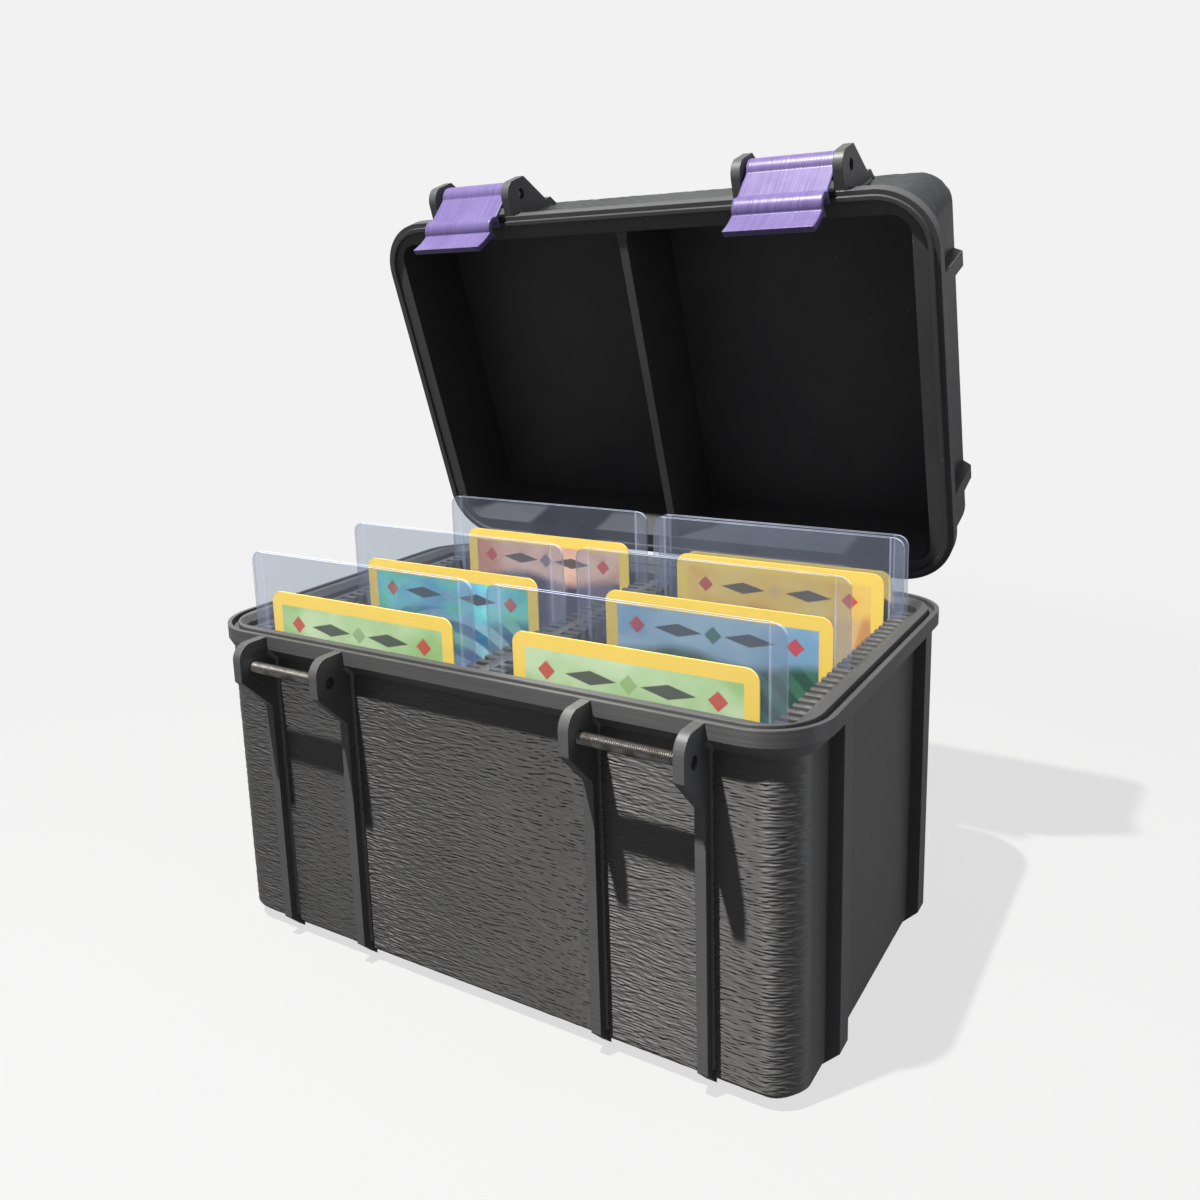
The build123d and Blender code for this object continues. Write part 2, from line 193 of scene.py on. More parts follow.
def make_object(
    name: str, points: np.ndarray, groups: Sequence[np.ndarray], uv: np.ndarray | None = None, sharp: float = 38.0
) -> bpy.types.Object:
    """Put points and faces into a mesh whose place is in its vertices.

    Args:
        name: Name of the piece.
        points: Points in millimetres, one in each row.
        groups: Arrays of faces; all faces of one array have the same number of corners.
        uv: Optional map coordinates, one pair for each point.
        sharp: Edges that turn by more than this angle, in degrees, stay sharp.

    Returns:
        The new object, at the origin.
    """
    loops = np.concatenate([np.asarray(g).ravel() for g in groups]).astype(np.int32)
    totals = np.concatenate([np.full(len(g), np.asarray(g).shape[1]) for g in groups])
    starts = np.concatenate([[0], np.cumsum(totals)[:-1]]).astype(np.int32)
    mesh = bpy.data.meshes.new(name)
    mesh.vertices.add(len(points))
    mesh.vertices.foreach_set("co", (points / 1000.0).astype(np.float32).ravel())
    mesh.loops.add(len(loops))
    mesh.loops.foreach_set("vertex_index", loops)
    mesh.polygons.add(len(starts))
    mesh.polygons.foreach_set("loop_start", starts)
    mesh.update(calc_edges=True)
    mesh.validate()
    mesh.polygons.foreach_set("use_smooth", np.ones(len(mesh.polygons), dtype=bool))
    mesh.set_sharp_from_angle(angle=math.radians(sharp))
    if uv is not None:
        layer = mesh.uv_layers.new(name="print")
        layer.uv.foreach_set("vector", uv[loops].astype(np.float32).ravel())
    obj = bpy.data.objects.new(name, mesh)
    bpy.context.scene.collection.objects.link(obj)
    return obj


def settle(
    obj: bpy.types.Object, body: str, materials: Sequence[bpy.types.Material], node: str | None = None
) -> None:
    """Finish a piece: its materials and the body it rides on.

    Args:
        obj: The piece.
        body: Body that it rides on.
        materials: Materials of its faces.
        node: The frame's node that it stands in for, if any.
    """
    for material in materials:
        obj.data.materials.append(material)
    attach(obj, body)
    if node is not None:
        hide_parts(node)
    LOG.info("%s: %d faces on %s", obj.name, len(obj.data.polygons), body)


def link_at(obj: bpy.types.Object, axes: Sequence[np.ndarray], spot: Sequence[float]) -> None:
    """Link a lamp or camera to the scene, with its three axes and its place in metres.

    Args:
        obj: The lamp or camera.
        axes: Its X, Y and Z axes.
        spot: Its place.
    """
    rows = np.column_stack([*axes, spot]).tolist()
    obj.matrix_world = Matrix([*rows, [0.0, 0.0, 0.0, 1.0]])
    bpy.context.scene.collection.objects.link(obj)


class Value:
    """A number that a node tree works out; arithmetic on it adds nodes to the tree."""

    def __init__(self, shader: Shader, socket: Socket) -> None:
        """Hold an output socket of a tree."""
        self.shader = shader
        self.socket = socket

    def math(self, operation: str, other: Value | float = 0.0, clamp: bool = False) -> Value:
        """Add a Math node for this value and another, and give its result.

        Args:
            operation: The node's operation.
            other: Its second input.
            clamp: Whether the result is held between 0 and 1.

        Returns:
            The result.
        """
        node = self.shader.add("Math", operation=operation, use_clamp=clamp)
        self.shader.feed(node.inputs[0], self)
        self.shader.feed(node.inputs[1], other)
        return Value(self.shader, node.outputs[0])

    def ramp(
        self, low: float, high: float, out_low: float = 0.0, out_high: float = 1.0, kind: str = "SMOOTHSTEP"
    ) -> Value:
        """Map the value from one range to another, smoothly if not told otherwise.

        Args:
            low: Start of the range.
            high: End of the range.
            out_low: Result at the start.
            out_high: Result at the end.
            kind: The node's way of going from one to the other.

        Returns:
            The mapped value.
        """
        node = self.shader.add("MapRange", interpolation_type=kind)
        for socket, item in zip(node.inputs, (self, low, high, out_low, out_high)):
            self.shader.feed(socket, item)
        return Value(self.shader, node.outputs[0])

    def __add__(self, other: Value | float) -> Value:
        """Sum of both."""
        return self.math("ADD", other)

    def __sub__(self, other: Value | float) -> Value:
        """This value less another."""
        return self.math("SUBTRACT", other)

    def __rsub__(self, other: float) -> Value:
        """A plain number less this value."""
        return self * -1.0 + other

    def __mul__(self, other: Value | float) -> Value:
        """Product of both."""
        return self.math("MULTIPLY", other)

    def __truediv__(self, other: Value | float) -> Value:
        """This value over another."""
        return self.math("DIVIDE", other)

    def __abs__(self) -> Value:
        """The value without its sign."""
        return self.math("ABSOLUTE")


class Shader:
    """The node tree of a material or a world, with short ways to add and join nodes."""

    def __init__(self, owner: bpy.types.Material | bpy.types.World, output: str = "OutputMaterial") -> None:
        """Empty the owner's tree and give it an output node.

        Args:
            owner: Material or world whose tree it is.
            output: Kind of its output node.
        """
        self.owner = owner
        owner.use_nodes = True
        self.tree = owner.node_tree
        self.tree.nodes.clear()
        self.output = self.add(output)

    def add(self, kind: str, **settings: object) -> bpy.types.Node:
        """Add a node of a kind and set its properties.

        Args:
            kind: The node's type, without its common prefix.
            settings: Its properties by name.

        Returns:
            The node.
        """
        node = self.tree.nodes.new(f"ShaderNode{kind}")
        for key, value in settings.items():
            setattr(node, key, value)
        return node

    def feed(self, socket: Socket, value: object) -> None:
        """Join a value or an output socket to an input, or set the input to a plain number or colour.

        Args:
            socket: The input.
            value: What it gets.
        """
        if isinstance(value, Value):
            value = value.socket
        if isinstance(value, Socket):
            self.tree.links.new(value, socket)
        else:
            socket.default_value = value

    def ray(self, kind: str) -> Value:
        """One for rays of a kind, and zero for others."""
        return Value(self, self.add("LightPath").outputs[f"Is {kind} Ray"])

    def mix(self, factor: Value, a: object, b: object) -> Socket:
        """Mix two colours and give the result.

        Args:
            factor: Share of the second colour.
            a: First colour.
            b: Second colour.

        Returns:
            The mixed colour.
        """
        node = self.add("Mix", data_type="RGBA")
        self.feed(node.inputs[0], factor)
        self.feed(node.inputs[6], a)
        self.feed(node.inputs[7], b)
        return node.outputs[2]

    def place(self, scale: float | Vector, turn: float = 0.0) -> Socket:
        """Object coordinates, turned about X by an angle in degrees and then scaled, alike or on each axis.

        Args:
            scale: One scale, or one for each axis.
            turn: The angle.

        Returns:
            The coordinates.
        """
        turned = self.add("Mapping")
        self.feed(turned.inputs["Vector"], self.add("TexCoord").outputs["Object"])
        turned.inputs["Rotation"].default_value = (math.radians(turn), 0.0, 0.0)
        scaled = self.add("VectorMath", operation="MULTIPLY")
        self.feed(scaled.inputs[0], turned.outputs[0])
        scaled.inputs[1].default_value = scale if isinstance(scale, tuple) else (scale, scale, scale)
        return scaled.outputs[0]

    def noise(self, scale: float | Vector, detail: float, turn: float = 0.0) -> Value:
        """Noise from 0 to 1 over the object's coordinates.

        Args:
            scale: One scale, or one for each axis.
            detail: Number of finer octaves.
            turn: Turn of the coordinates about X, in degrees.

        Returns:
            The noise.
        """
        node = self.add("TexNoise")
        self.feed(node.inputs["Vector"], self.place(scale, turn))
        node.inputs["Scale"].default_value = 1.0
        node.inputs["Detail"].default_value = detail
        return Value(self, node.outputs["Fac"])

    def print_map(self) -> tuple[Value, Value]:
        """The two coordinates of the mesh's own map.

        Returns:
            U and V.
        """
        split = self.add("SeparateXYZ")
        self.feed(split.inputs[0], self.add("UVMap", uv_map="print").outputs[0])
        return Value(self, split.outputs[0]), Value(self, split.outputs[1])

    def bump(self, height: Value, distance: float, edge: float) -> Socket:
        """Bump of a height, with its depth in metres, over edges that are rounded by a radius in metres.

        Args:
            height: The height.
            distance: Its depth.
            edge: Radius of the edges.

        Returns:
            The normal.
        """
        bevel = self.add("Bevel", samples=6)
        bevel.inputs["Radius"].default_value = edge
        node = self.add("Bump")
        node.inputs["Distance"].default_value = distance
        self.feed(node.inputs["Height"], height)
        self.feed(node.inputs["Normal"], bevel.outputs[0])
        return node.outputs[0]

    def principled(self, **sockets: object) -> bpy.types.Node:
        """Add a Principled shader, feed its sockets by name and join it to the output.

        Args:
            sockets: Values by the sockets' names, with underscores for spaces.

        Returns:
            The shader.
        """
        node = self.add("BsdfPrincipled")
        for key, value in sockets.items():
            self.feed(node.inputs[key.replace("_", " ")], value)
        self.feed(self.output.inputs["Surface"], node.outputs[0])
        return node

    def background(self, colour: Colour, strength: object) -> bpy.types.Node:
        """Add a background of a colour and strength.

        Args:
            colour: Its colour.
            strength: Its strength.

        Returns:
            The background.
        """
        node = self.add("Background")
        node.inputs["Color"].default_value = rgba(colour)
        self.feed(node.inputs["Strength"], strength)
        return node

    def blend(self, factor: Value, a: bpy.types.Node, b: bpy.types.Node) -> bpy.types.Node:
        """Mix two shaders, join the result to the output and give it.

        Args:
            factor: Share of the second shader.
            a: First shader.
            b: Second shader.

        Returns:
            The mixed shader.
        """
        node = self.add("MixShader")
        for socket, value in zip(node.inputs, (factor, a.outputs[0], b.outputs[0])):
            self.feed(socket, value)
        self.feed(self.output.inputs["Surface"], node.outputs[0])
        return node


def rgba(colour: Colour, gain: float = 1.0) -> tuple[float, float, float, float]:
    """A colour with a gain, and full alpha."""
    return (colour[0] * gain, colour[1] * gain, colour[2] * gain, 1.0)


def grey(level: float) -> Colour:
    """A grey of a level."""
    return (level, level, level)


@dataclass(frozen=True)
class Finish:
    """A named surface."""

    name: str

    def material(self) -> bpy.types.Material:
        """Build the finish.

        Returns:
            The material.
        """
        shader = Shader(bpy.data.materials.new(self.name))
        self.paint(shader)
        return shader.owner

    def paint(self, shader: Shader) -> None:
        """Fill the finish's node tree."""
        raise NotImplementedError


@dataclass(frozen=True)
class PrintedPlastic(Finish):
    """Charcoal printed plastic: fine layer lines, faint patches, specks of stringing and softened edges."""

    colour: Colour
    roughness: float = 0.5
    specular: float = 0.4
    layer_tilt: float = 0.0
    layer_gain: float = 0.16
    layer_depth: float = 0.00006
    layers: Vector = (26.0, 26.0, 1900.0)
    fine_layers: Vector = (90.0, 90.0, 5200.0)
    fine_share: float = 0.3
    patches: float = 30.0
    patch_gain: float = 1.12
    patch_roughness: float = 0.06
    edge: float = 0.00035
    specks: float = 0.5
    speck_scale: float = 420.0
    speck_spread: float = 160.0
    speck_colour: Colour = (0.5, 0.51, 0.52)
    brushed: float = 0.0

    def paint(self, shader: Shader) -> None:
        """Two sizes of layer lines tint and bump the plastic; patches vary its tone and roughness.

        Args:
            shader: The finish's node tree.
        """
        lines = shader.noise(self.layers, 3.0, self.layer_tilt) * (1 - self.fine_share)
        lines = lines + shader.noise(self.fine_layers, 1.0, self.layer_tilt) * self.fine_share
        patches = shader.noise(self.patches, 4.0)
        dark, light = rgba(self.colour, 1 - self.layer_gain), rgba(self.colour, 1 + self.layer_gain)
        base = shader.mix(lines.ramp(0.25, 0.75), dark, light)
        base = shader.mix(patches.ramp(0.35, 0.7), base, rgba(self.colour, self.patch_gain))
        cells = shader.add("TexVoronoi")
        shader.feed(cells.inputs["Vector"], shader.place(self.speck_scale))
        cells.inputs["Scale"].default_value = 1.0
        dots = Value(shader, cells.outputs["Distance"]).ramp(0.04, 0.09, 1.0, 0.0)
        sparse = shader.noise(self.speck_spread, 1.0).ramp(0.62, 0.7)
        low, high = self.roughness - self.patch_roughness, self.roughness + self.patch_roughness
        shader.principled(
            Base_Color=shader.mix(dots * sparse * self.specks, base, rgba(self.speck_colour)),
            Roughness=patches.ramp(0.2, 0.8, low, high),
            Normal=shader.bump(lines, self.layer_depth, self.edge),
            Specular_IOR_Level=self.specular,
            Anisotropic=self.brushed,
            Anisotropic_Rotation=0.25,
            Tangent=shader.add("Tangent", direction_type="RADIAL", axis="Z").outputs[0],
        )


@dataclass(frozen=True)
class SilkPlastic(Finish):
    """Silky purple printed plastic whose layers stand across the latch."""

    colour: Colour
    light: Colour
    roughness: float = 0.34
    layers: Vector = (2100.0, 30.0, 30.0)
    patches: float = 120.0
    sheen: float = 0.16
    sheen_colour: Colour = (0.8, 0.72, 1.0)

    def paint(self, shader: Shader) -> None:
        """Fine layer lines between two tones, with paler patches and a sheen.

        Args:
            shader: The finish's node tree.
        """
        lines = shader.noise(self.layers, 2.0)
        patches = shader.noise(self.patches, 3.0)
        base = shader.mix(lines.ramp(0.3, 0.7), rgba(self.colour), rgba(self.light))
        shader.principled(
            Base_Color=shader.mix(patches.ramp(0.4, 0.75, 0.0, 0.35), base, rgba(self.light)),
            Roughness=patches.ramp(0.2, 0.8, self.roughness - 0.05, self.roughness + 0.07),
            Normal=shader.bump(lines, 0.00005, 0.0002),
            Specular_IOR_Level=0.28,
            Sheen_Weight=self.sheen,
            Sheen_Roughness=0.4,
            Sheen_Tint=rgba(self.sheen_colour),
        )


@dataclass(frozen=True)
class ScrewSteel(Finish):
    """Dark bright steel with oil stains."""

    colour: Colour
    stain: Colour
    stains: float = 260.0

    def paint(self, shader: Shader) -> None:
        """Stains darken and dull the steel.

        Args:
            shader: The finish's node tree.
        """
        stains = shader.noise(self.stains, 4.0)
        shader.principled(
            Base_Color=shader.mix(stains.ramp(0.4, 0.65), rgba(self.colour), rgba(self.stain)),
            Roughness=stains.ramp(0.3, 0.7, 0.32, 0.5),
            Metallic=1.0,
        )


@dataclass(frozen=True)
class ClearSheet(Finish):
    """Clear rigid sheet: glossy, faintly blue, hazier along its welded bands, with a painted highlight at its cut
    edges, which are made pale and half opaque.
    """

    tint: Colour
    haze: float = 0.009
    band: float = 0.02
    weld: float = 0.8
    edge: float = 0.38
    gloss: float = 0.6
    least: float = 0.012
    lit_through: float = 0.75
    scuffs: float = 60.0
    smoke: Colour = (0.868, 0.884, 0.897)
    shade: Colour = (0.98, 0.98, 0.98)

    def paint(self, shader: Shader) -> None:
        """Haze over a see-through sheet; the map's U is 0 in the pocket, 1 in a band and 2 at a cut edge.

        Args:
            shader: The finish's node tree.
        """
        zone, _ = shader.print_map()
        line = zone.math("MULTIPLY", 1.0 - zone, clamp=True)
        haze = zone.ramp(0.3, 0.9, 0.0, self.band) + self.haze
        # The cut edges are made pale and half opaque: a painted highlight along the sheet's rim.
        haze = haze + line * self.weld + zone.ramp(1.4, 1.9, 0.0, self.edge)
        haze = haze * shader.noise(self.scuffs, 4.0).ramp(0.3, 0.7, 0.6, 1.4)
        facing = Value(shader, shader.add("LayerWeight").outputs["Facing"])
        gloss = facing.math("POWER", 5.0) * self.gloss
        cover = haze.math("ADD", gloss + self.least, clamp=True)
        shadow = shader.ray("Shadow")
        clear = shader.add("BsdfTransparent")
        shader.feed(clear.inputs["Color"], shader.mix(shadow, rgba(self.smoke), rgba(self.shade)))
        sheet = shader.principled(Base_Color=rgba(self.tint), Roughness=0.12, Specular_IOR_Level=0.6)
        shader.blend(cover * (1.0 - shadow * self.lit_through), clear, sheet)


class Motif(Enum):
    """The plain pattern printed on a card's field."""

    RAYS = "rays"
    WAVES = "waves"
    RINGS = "rings"
    LOZENGES = "lozenges"
    STRIPES = "stripes"


def inside_panel(x: Value, y: Value, half_width: float, half_height: float, soft: float = 0.15) -> Value:
    """One inside a rectangle about the middle of a card, and zero outside it."""
    outside = (abs(x) - half_width).math("MAXIMUM", abs(y) - half_height)
    return outside.ramp(-soft, soft, 1.0, 0.0)


@dataclass(frozen=True)
class CardPrint(Finish):
    """Print of one card: a yellow border round a field with a coloured head that shades into a plain pattern."""

    head: Colour
    head_light: Colour
    field: Colour
    field_light: Colour
    motif: Motif
    shimmer: float = 0.0
    border: Colour = (0.97, 0.67, 0.11)
    half_width: float = 28.0
    half_height: float = 40.4
    mark_height: float = 35.4
    dark: Colour = (0.05, 0.05, 0.05)
    red: Colour = (0.6, 0.05, 0.04)

    def pattern(self, x: Value, y: Value) -> Value:
        """Bands from 0 to 1: the sine of a phase that follows rays, waves, rings, lozenges or stripes.

        Args:
            x: Distance from the middle of the card, in millimetres.
            y: Height above the middle of the card, in millimetres.

        Returns:
            The bands' value.
        """
        if self.motif is Motif.RAYS:
            phase = (y + 60.0).math("ARCTAN2", x) * 34.0
        elif self.motif is Motif.WAVES:
            phase = (y + (x * 0.32).math("SINE") * 2.2) * 1.1
        elif self.motif is Motif.RINGS:
            phase = (x * x + y * y).math("SQRT") * 0.9
        elif self.motif is Motif.LOZENGES:
            phase = (abs(x) + abs(y)) * 0.7
        else:
            phase = (x + y) * 0.8
        return phase.math("SINE").ramp(-0.35, 0.35)

    def marks(self) -> list[tuple[float, float, float, Colour]]:
        """Lozenges on the head: place, half length, half height and colour of each.

        Returns:
            One row for each lozenge.
        """
        return [
            (-22.0, 2.6, 2.6, self.red), (-10.0, 7.5, 1.9, self.dark), (0.0, 2.6, 2.6, self.field_light),
            (10.0, 7.5, 1.9, self.dark), (22.0, 2.6, 2.6, self.red),
        ]

    def paint(self, shader: Shader) -> None:
        """Head, field, marks and border by turns; the map holds millimetres from the middle of the card.

        Args:
            shader: The finish's node tree.
        """
        x, y = shader.print_map()
        cloud = shader.noise((55.0, 55.0, 70.0), 4.0)
        head = shader.mix(cloud.ramp(0.35, 0.68), rgba(self.head), rgba(self.head_light))
        head = shader.mix(abs(x).ramp(2.0, 26.0, 0.4, 0.0), head, rgba(self.head_light))
        field = shader.mix(self.pattern(x, y), rgba(self.field), rgba(self.field_light))
        field = shader.mix(cloud.ramp(0.4, 0.7, 0.0, 0.4), field, rgba(self.field))
        swayed = y + (x * 0.17).math("SINE") * 1.4
        panel = shader.mix(swayed.ramp(27.5, 31.5), field, head)
        for place, half, half_height, colour in self.marks():
            reach = abs(x - place) / half + abs(y - self.mark_height) / half_height
            panel = shader.mix(reach.ramp(0.85, 1.0, 0.9, 0.0), panel, rgba(colour))
        if self.shimmer > 0.0:
            hue = shader.add("HueSaturation")
            drift = shader.noise((80.0, 80.0, 120.0), 3.0)
            shader.feed(hue.inputs["Hue"], drift.ramp(0.3, 0.7, 0.5 - self.shimmer, 0.5 + self.shimmer))
            shader.feed(hue.inputs["Color"], panel)
            panel = hue.outputs[0]
        border = shader.mix(cloud.ramp(0.3, 0.7, 0.0, 0.25), rgba(self.border), rgba(self.border, 1.12))
        inside = inside_panel(x, y, self.half_width, self.half_height)
        shader.principled(Base_Color=shader.mix(inside, border, panel), Roughness=0.38, Specular_IOR_Level=0.4)


@dataclass(frozen=True)
class CardBack(Finish):
    """Back of a card: a blue field of small lozenges inside a pale border."""

    colour: Colour = (0.03, 0.06, 0.2)
    light: Colour = (0.08, 0.16, 0.4)
    border: Colour = (0.62, 0.63, 0.66)
    half_width: float = 28.2
    half_height: float = 40.7
    rate: float = 0.9

    def paint(self, shader: Shader) -> None:
        """Tiles where two crossing sines have the same sign; the map holds millimetres from the middle.

        Args:
            shader: The finish's node tree.
        """
        x, y = shader.print_map()
        tiles = ((x + y) * self.rate).math("SINE") * ((x - y) * self.rate).math("SINE")
        field = shader.mix(tiles.ramp(-0.1, 0.1), rgba(self.colour), rgba(self.light))
        inside = inside_panel(x, y, self.half_width, self.half_height)
        shader.principled(
            Base_Color=shader.mix(inside, rgba(self.border), field), Roughness=0.4, Specular_IOR_Level=0.4
        )


@dataclass(frozen=True)
class WallPath:
    """The outline of the walls, run by distance from the front middle and to the right."""

    sizes: BoxSizes = SIZES
    least: float = 1 / 6
    corner_gain: float = 3.0

    @property
    def knots(self) -> tuple[np.ndarray, np.ndarray, np.ndarray, np.ndarray]:
        """Distances, centres and facing angles where straight runs and corner arcs meet.

        Returns:
            Distances, X and Y of the centres, and angles in radians.
        """
        r = self.sizes.wall_radius
        a, b, q = self.sizes.wall_x - r, self.sizes.wall_y - r, r * math.pi / 2
        runs = np.array([0.0, a, q, 2 * b, q, 2 * a, q, 2 * b, q, a])
        x = np.array([0.0, a, a, a, a, -a, -a, -a, -a, 0.0])
        y = np.array([-b, -b, -b, b, b, b, b, -b, -b, -b])
        facing = np.radians([-90.0, -90.0, 0.0, 0.0, 90.0, 90.0, 180.0, 180.0, 270.0, 270.0])
        return np.cumsum(runs), x, y, facing

    @property
    def length(self) -> float:
        """Length of the whole outline."""
        return float(self.knots[0][-1])

    def texture(self, s: np.ndarray) -> np.ndarray:
        """Share of the texture: full on the front and back, and down to the least at the far end of each corner.

        Args:
            s: Distances along the outline.

        Returns:
            Factors from the least to one.
        """
        distance, _, _, facing = self.knots
        turned = np.abs(np.sin(np.interp(np.mod(s, distance[-1]), distance, facing)))
        return self.least + (1 - self.least) * smooth_step(np.clip(turned * self.corner_gain, 0.0, 1.0))

    def at(self, s: np.ndarray, offset: np.ndarray) -> tuple[np.ndarray, np.ndarray]:
        """Points of the outline: a corner centre plus the radius and an offset, along the facing angle.

        Args:
            s: Distances along the outline.
            offset: How far the points stand proud of it.

        Returns:
            X and Y of the points.
        """
        distance, x, y, facing = self.knots
        s = np.mod(s, distance[-1])
        angle = np.interp(s, distance, facing)
        reach = self.sizes.wall_radius + offset
        x, y = np.interp(s, distance, x), np.interp(s, distance, y)
        return x + reach * np.cos(angle), y + reach * np.sin(angle)


@dataclass(frozen=True)
class WaveRelief:
    """Relief of the wavy printed walls: how high its parts stand, and how long and how far apart they are."""

    mean: float = 0.2
    wave: float = 0.026
    wave_row: float = 0.72
    wave_shift: float = 2.2
    streak: float = 0.096
    streak_length: float = 1.75
    streak_row: float = 0.34
    grit: float = 0.03
    grit_length: float = 1.0
    grit_row: float = 0.3
    lowest: float = 0.03
    highest: float = 0.45

    def height(self, s: np.ndarray, z: np.ndarray) -> np.ndarray:
        """A sine over rows that slow noise bends and shifts, plus streaks and grit along the rows.

        Args:
            s: Distances along the wall.
            z: Heights.

        Returns:
            How far the texture stands proud of the wall.
        """
        rows = z + 0.8 * value_noise(s / 14.0, z / 14.0, 11) + 0.25 * value_noise(s / 5.0, z / 5.0, 12)
        shift = self.wave_shift * value_noise(s / 3.0, z / 1.5, 13)
        waves = np.sin(FULL_TURN * rows / self.wave_row + shift)
        streaks = value_noise(s / self.streak_length, rows / self.streak_row, 14)
        grit = value_noise(s / self.grit_length, rows / self.grit_row, 15)
        height = self.mean + self.wave * waves + self.streak * streaks + self.grit * grit
        return np.clip(height, self.lowest, self.highest)


@dataclass
class WallSkin:
    """A thin shell of wavy printed texture over part of the walls, from one rib to another."""

    name: str
    start: float
    end: float
    low: float
    high: float
    step_s: float
    step_z: float
    on_lid: bool = False
    path: WallPath = WallPath()
    relief: WaveRelief = WaveRelief()
    depth: float = 0.6
    cover: float = 0.02
    fade: float = 1.5
    fade_least: float = 0.1

    def profile(self, z: np.ndarray) -> np.ndarray:
        """How far the wall stands out at a height: in at the base's foot chamfer and over the lid's rounded top.

        Args:
            z: Heights in the frame of the closed box.

        Returns:
            Offsets from the wall, zero or negative.
        """
        sizes = self.path.sizes
        if not self.on_lid:
            return -np.maximum(0.0, sizes.bottom_chamfer - z)
        over = np.clip(z - (sizes.lid_top_z - sizes.lid_round), 0.0, sizes.lid_round)
        return np.sqrt(sizes.lid_round**2 - over**2) - sizes.lid_round

    def proud(self, s: np.ndarray, z: np.ndarray) -> np.ndarray:
        """How far the shell stands proud of the wall: the relief, fading to its upper and lower ends.

        Args:
            s: Distances along the wall.
            z: Heights.

        Returns:
            Heights of the shell over the wall.
        """
        upper = np.clip((self.high - z) / self.fade, self.fade_least, 1.0)
        lower = np.clip((z - self.low) / self.fade, self.fade_least, 1.0)
        return self.relief.height(s, z) * self.path.texture(s) * (upper * lower) + self.cover

    def build(self) -> bpy.types.Object:
        """Make the shell: a grid over distance and height pushed out by the relief, closed behind by the wall.

        Returns:
            The closed shell.
        """
        sizes = self.path.sizes
        ring = self.end - self.start >= self.path.length - 0.001
        columns = int((self.end - self.start) / self.step_s) + (0 if ring else 1)
        rows = int((self.high - self.low) / self.step_z) + 1
        s_line = np.linspace(self.start, self.end, columns, endpoint=not ring)
        z, s = np.meshgrid(np.linspace(self.low, self.high, rows), s_line, indexing="ij")
        x, y = self.path.at(s, self.profile(z) + self.proud(s, z))
        kink = sizes.lid_top_z - sizes.lid_round if self.on_lid else sizes.bottom_chamfer
        behind = np.array([self.low, kink, self.high])
        zb, sb = np.meshgrid(behind, s_line, indexing="ij")
        xb, yb = self.path.at(sb, self.profile(zb) - self.depth)
        points = np.concatenate([
            np.stack([x, y, z], -1).reshape(-1, 3), np.stack([xb, yb, zb], -1).reshape(-1, 3)
        ])
        outer = np.arange(rows * columns).reshape(rows, columns)
        inner = outer.size + np.arange(zb.size).reshape(zb.shape)
        groups = [
            grid_quads(rows, columns, ring),
            grid_quads(len(behind), columns, ring)[:, ::-1] + outer.size,
            strip_quads(inner[0], outer[0], ring),
            strip_quads(outer[-1], inner[-1], ring),
        ]
        if not ring:
            groups.append(np.concatenate([outer[:, 0], inner[::-1, 0]])[None, :])
            groups.append(np.concatenate([inner[:, -1], outer[::-1, -1]])[None, :])
        if self.on_lid:
            points = sizes.lid_swing(points)
        return make_object(self.name, points, groups, sharp=75.0)


@dataclass
class RibFillets:
    """The small hollow beads in the corners where front ribs stand on a wall and on the slope under its rim."""

    on_lid: bool
    radius: float = 0.95
    into_rib: float = 0.3
    into_wall: float = 0.4
    slope_run: float = 2.9
    steps: int = 7
    sizes: BoxSizes = SIZES

    def build(self) -> bpy.types.Object:
        """Sweep a hollow quarter-round profile up each side of each rib and out along the rim's slope.

        Returns:
            All the beads in one mesh.
        """
        sizes = self.sizes
        up = -1.0 if self.on_lid else 1.0
        foot = sizes.lid_rib_end if self.on_lid else sizes.rib_foot
        rim = sizes.lid_z if self.on_lid else sizes.base_height
        slope = rim - up * (sizes.rim_face + sizes.rim_overhang)
        end = [-sizes.wall_y - self.slope_run, slope + up * self.slope_run]
        path = np.array([[-sizes.wall_y, foot], [-sizes.wall_y, slope], end])
        half = math.sqrt(0.5)
        out = np.array([[-1.0, 0.0], [-1.0, -up * math.tan(math.pi / 8)], [-half, -up * half]])
        turn = np.radians(np.linspace(0.0, 90.0, self.steps))
        hollow = np.column_stack([1.0 - np.sin(turn), 1.0 - np.cos(turn)]) * self.radius
        side = np.concatenate([
            [[-self.into_rib, -self.into_wall], [self.radius, -self.into_wall]],
            hollow,
            [[-self.into_rib, self.radius]],
        ])
        rows, columns = len(path), len(side)
        yz = path[:, None, :] + side[None, :, 1:2] * out[:, None, :]
        ring = np.arange(columns)
        quads = grid_quads(rows, columns, True)
        caps = np.stack([ring[::-1], (rows - 1) * columns + ring])
        points, groups = [], []
        for centre in sizes.rib_centres:
            for way in SIDES:
                x = centre + way * (sizes.rib_thickness / 2 + side[:, 0])
                bead = np.concatenate([np.broadcast_to(x[None, :, None], (rows, columns, 1)), yz], axis=-1)
                order = -1 if way * up < 0 else 1
                count = len(points) * rows * columns
                groups += [quads[:, ::order] + count, caps[:, ::order] + count]
                points.append(bead.reshape(-1, 3))
        points = np.concatenate(points)
        if self.on_lid:
            points = sizes.lid_swing(points)
        return make_object("lid_rib_beads" if self.on_lid else "base_rib_beads", points, groups, sharp=50.0)


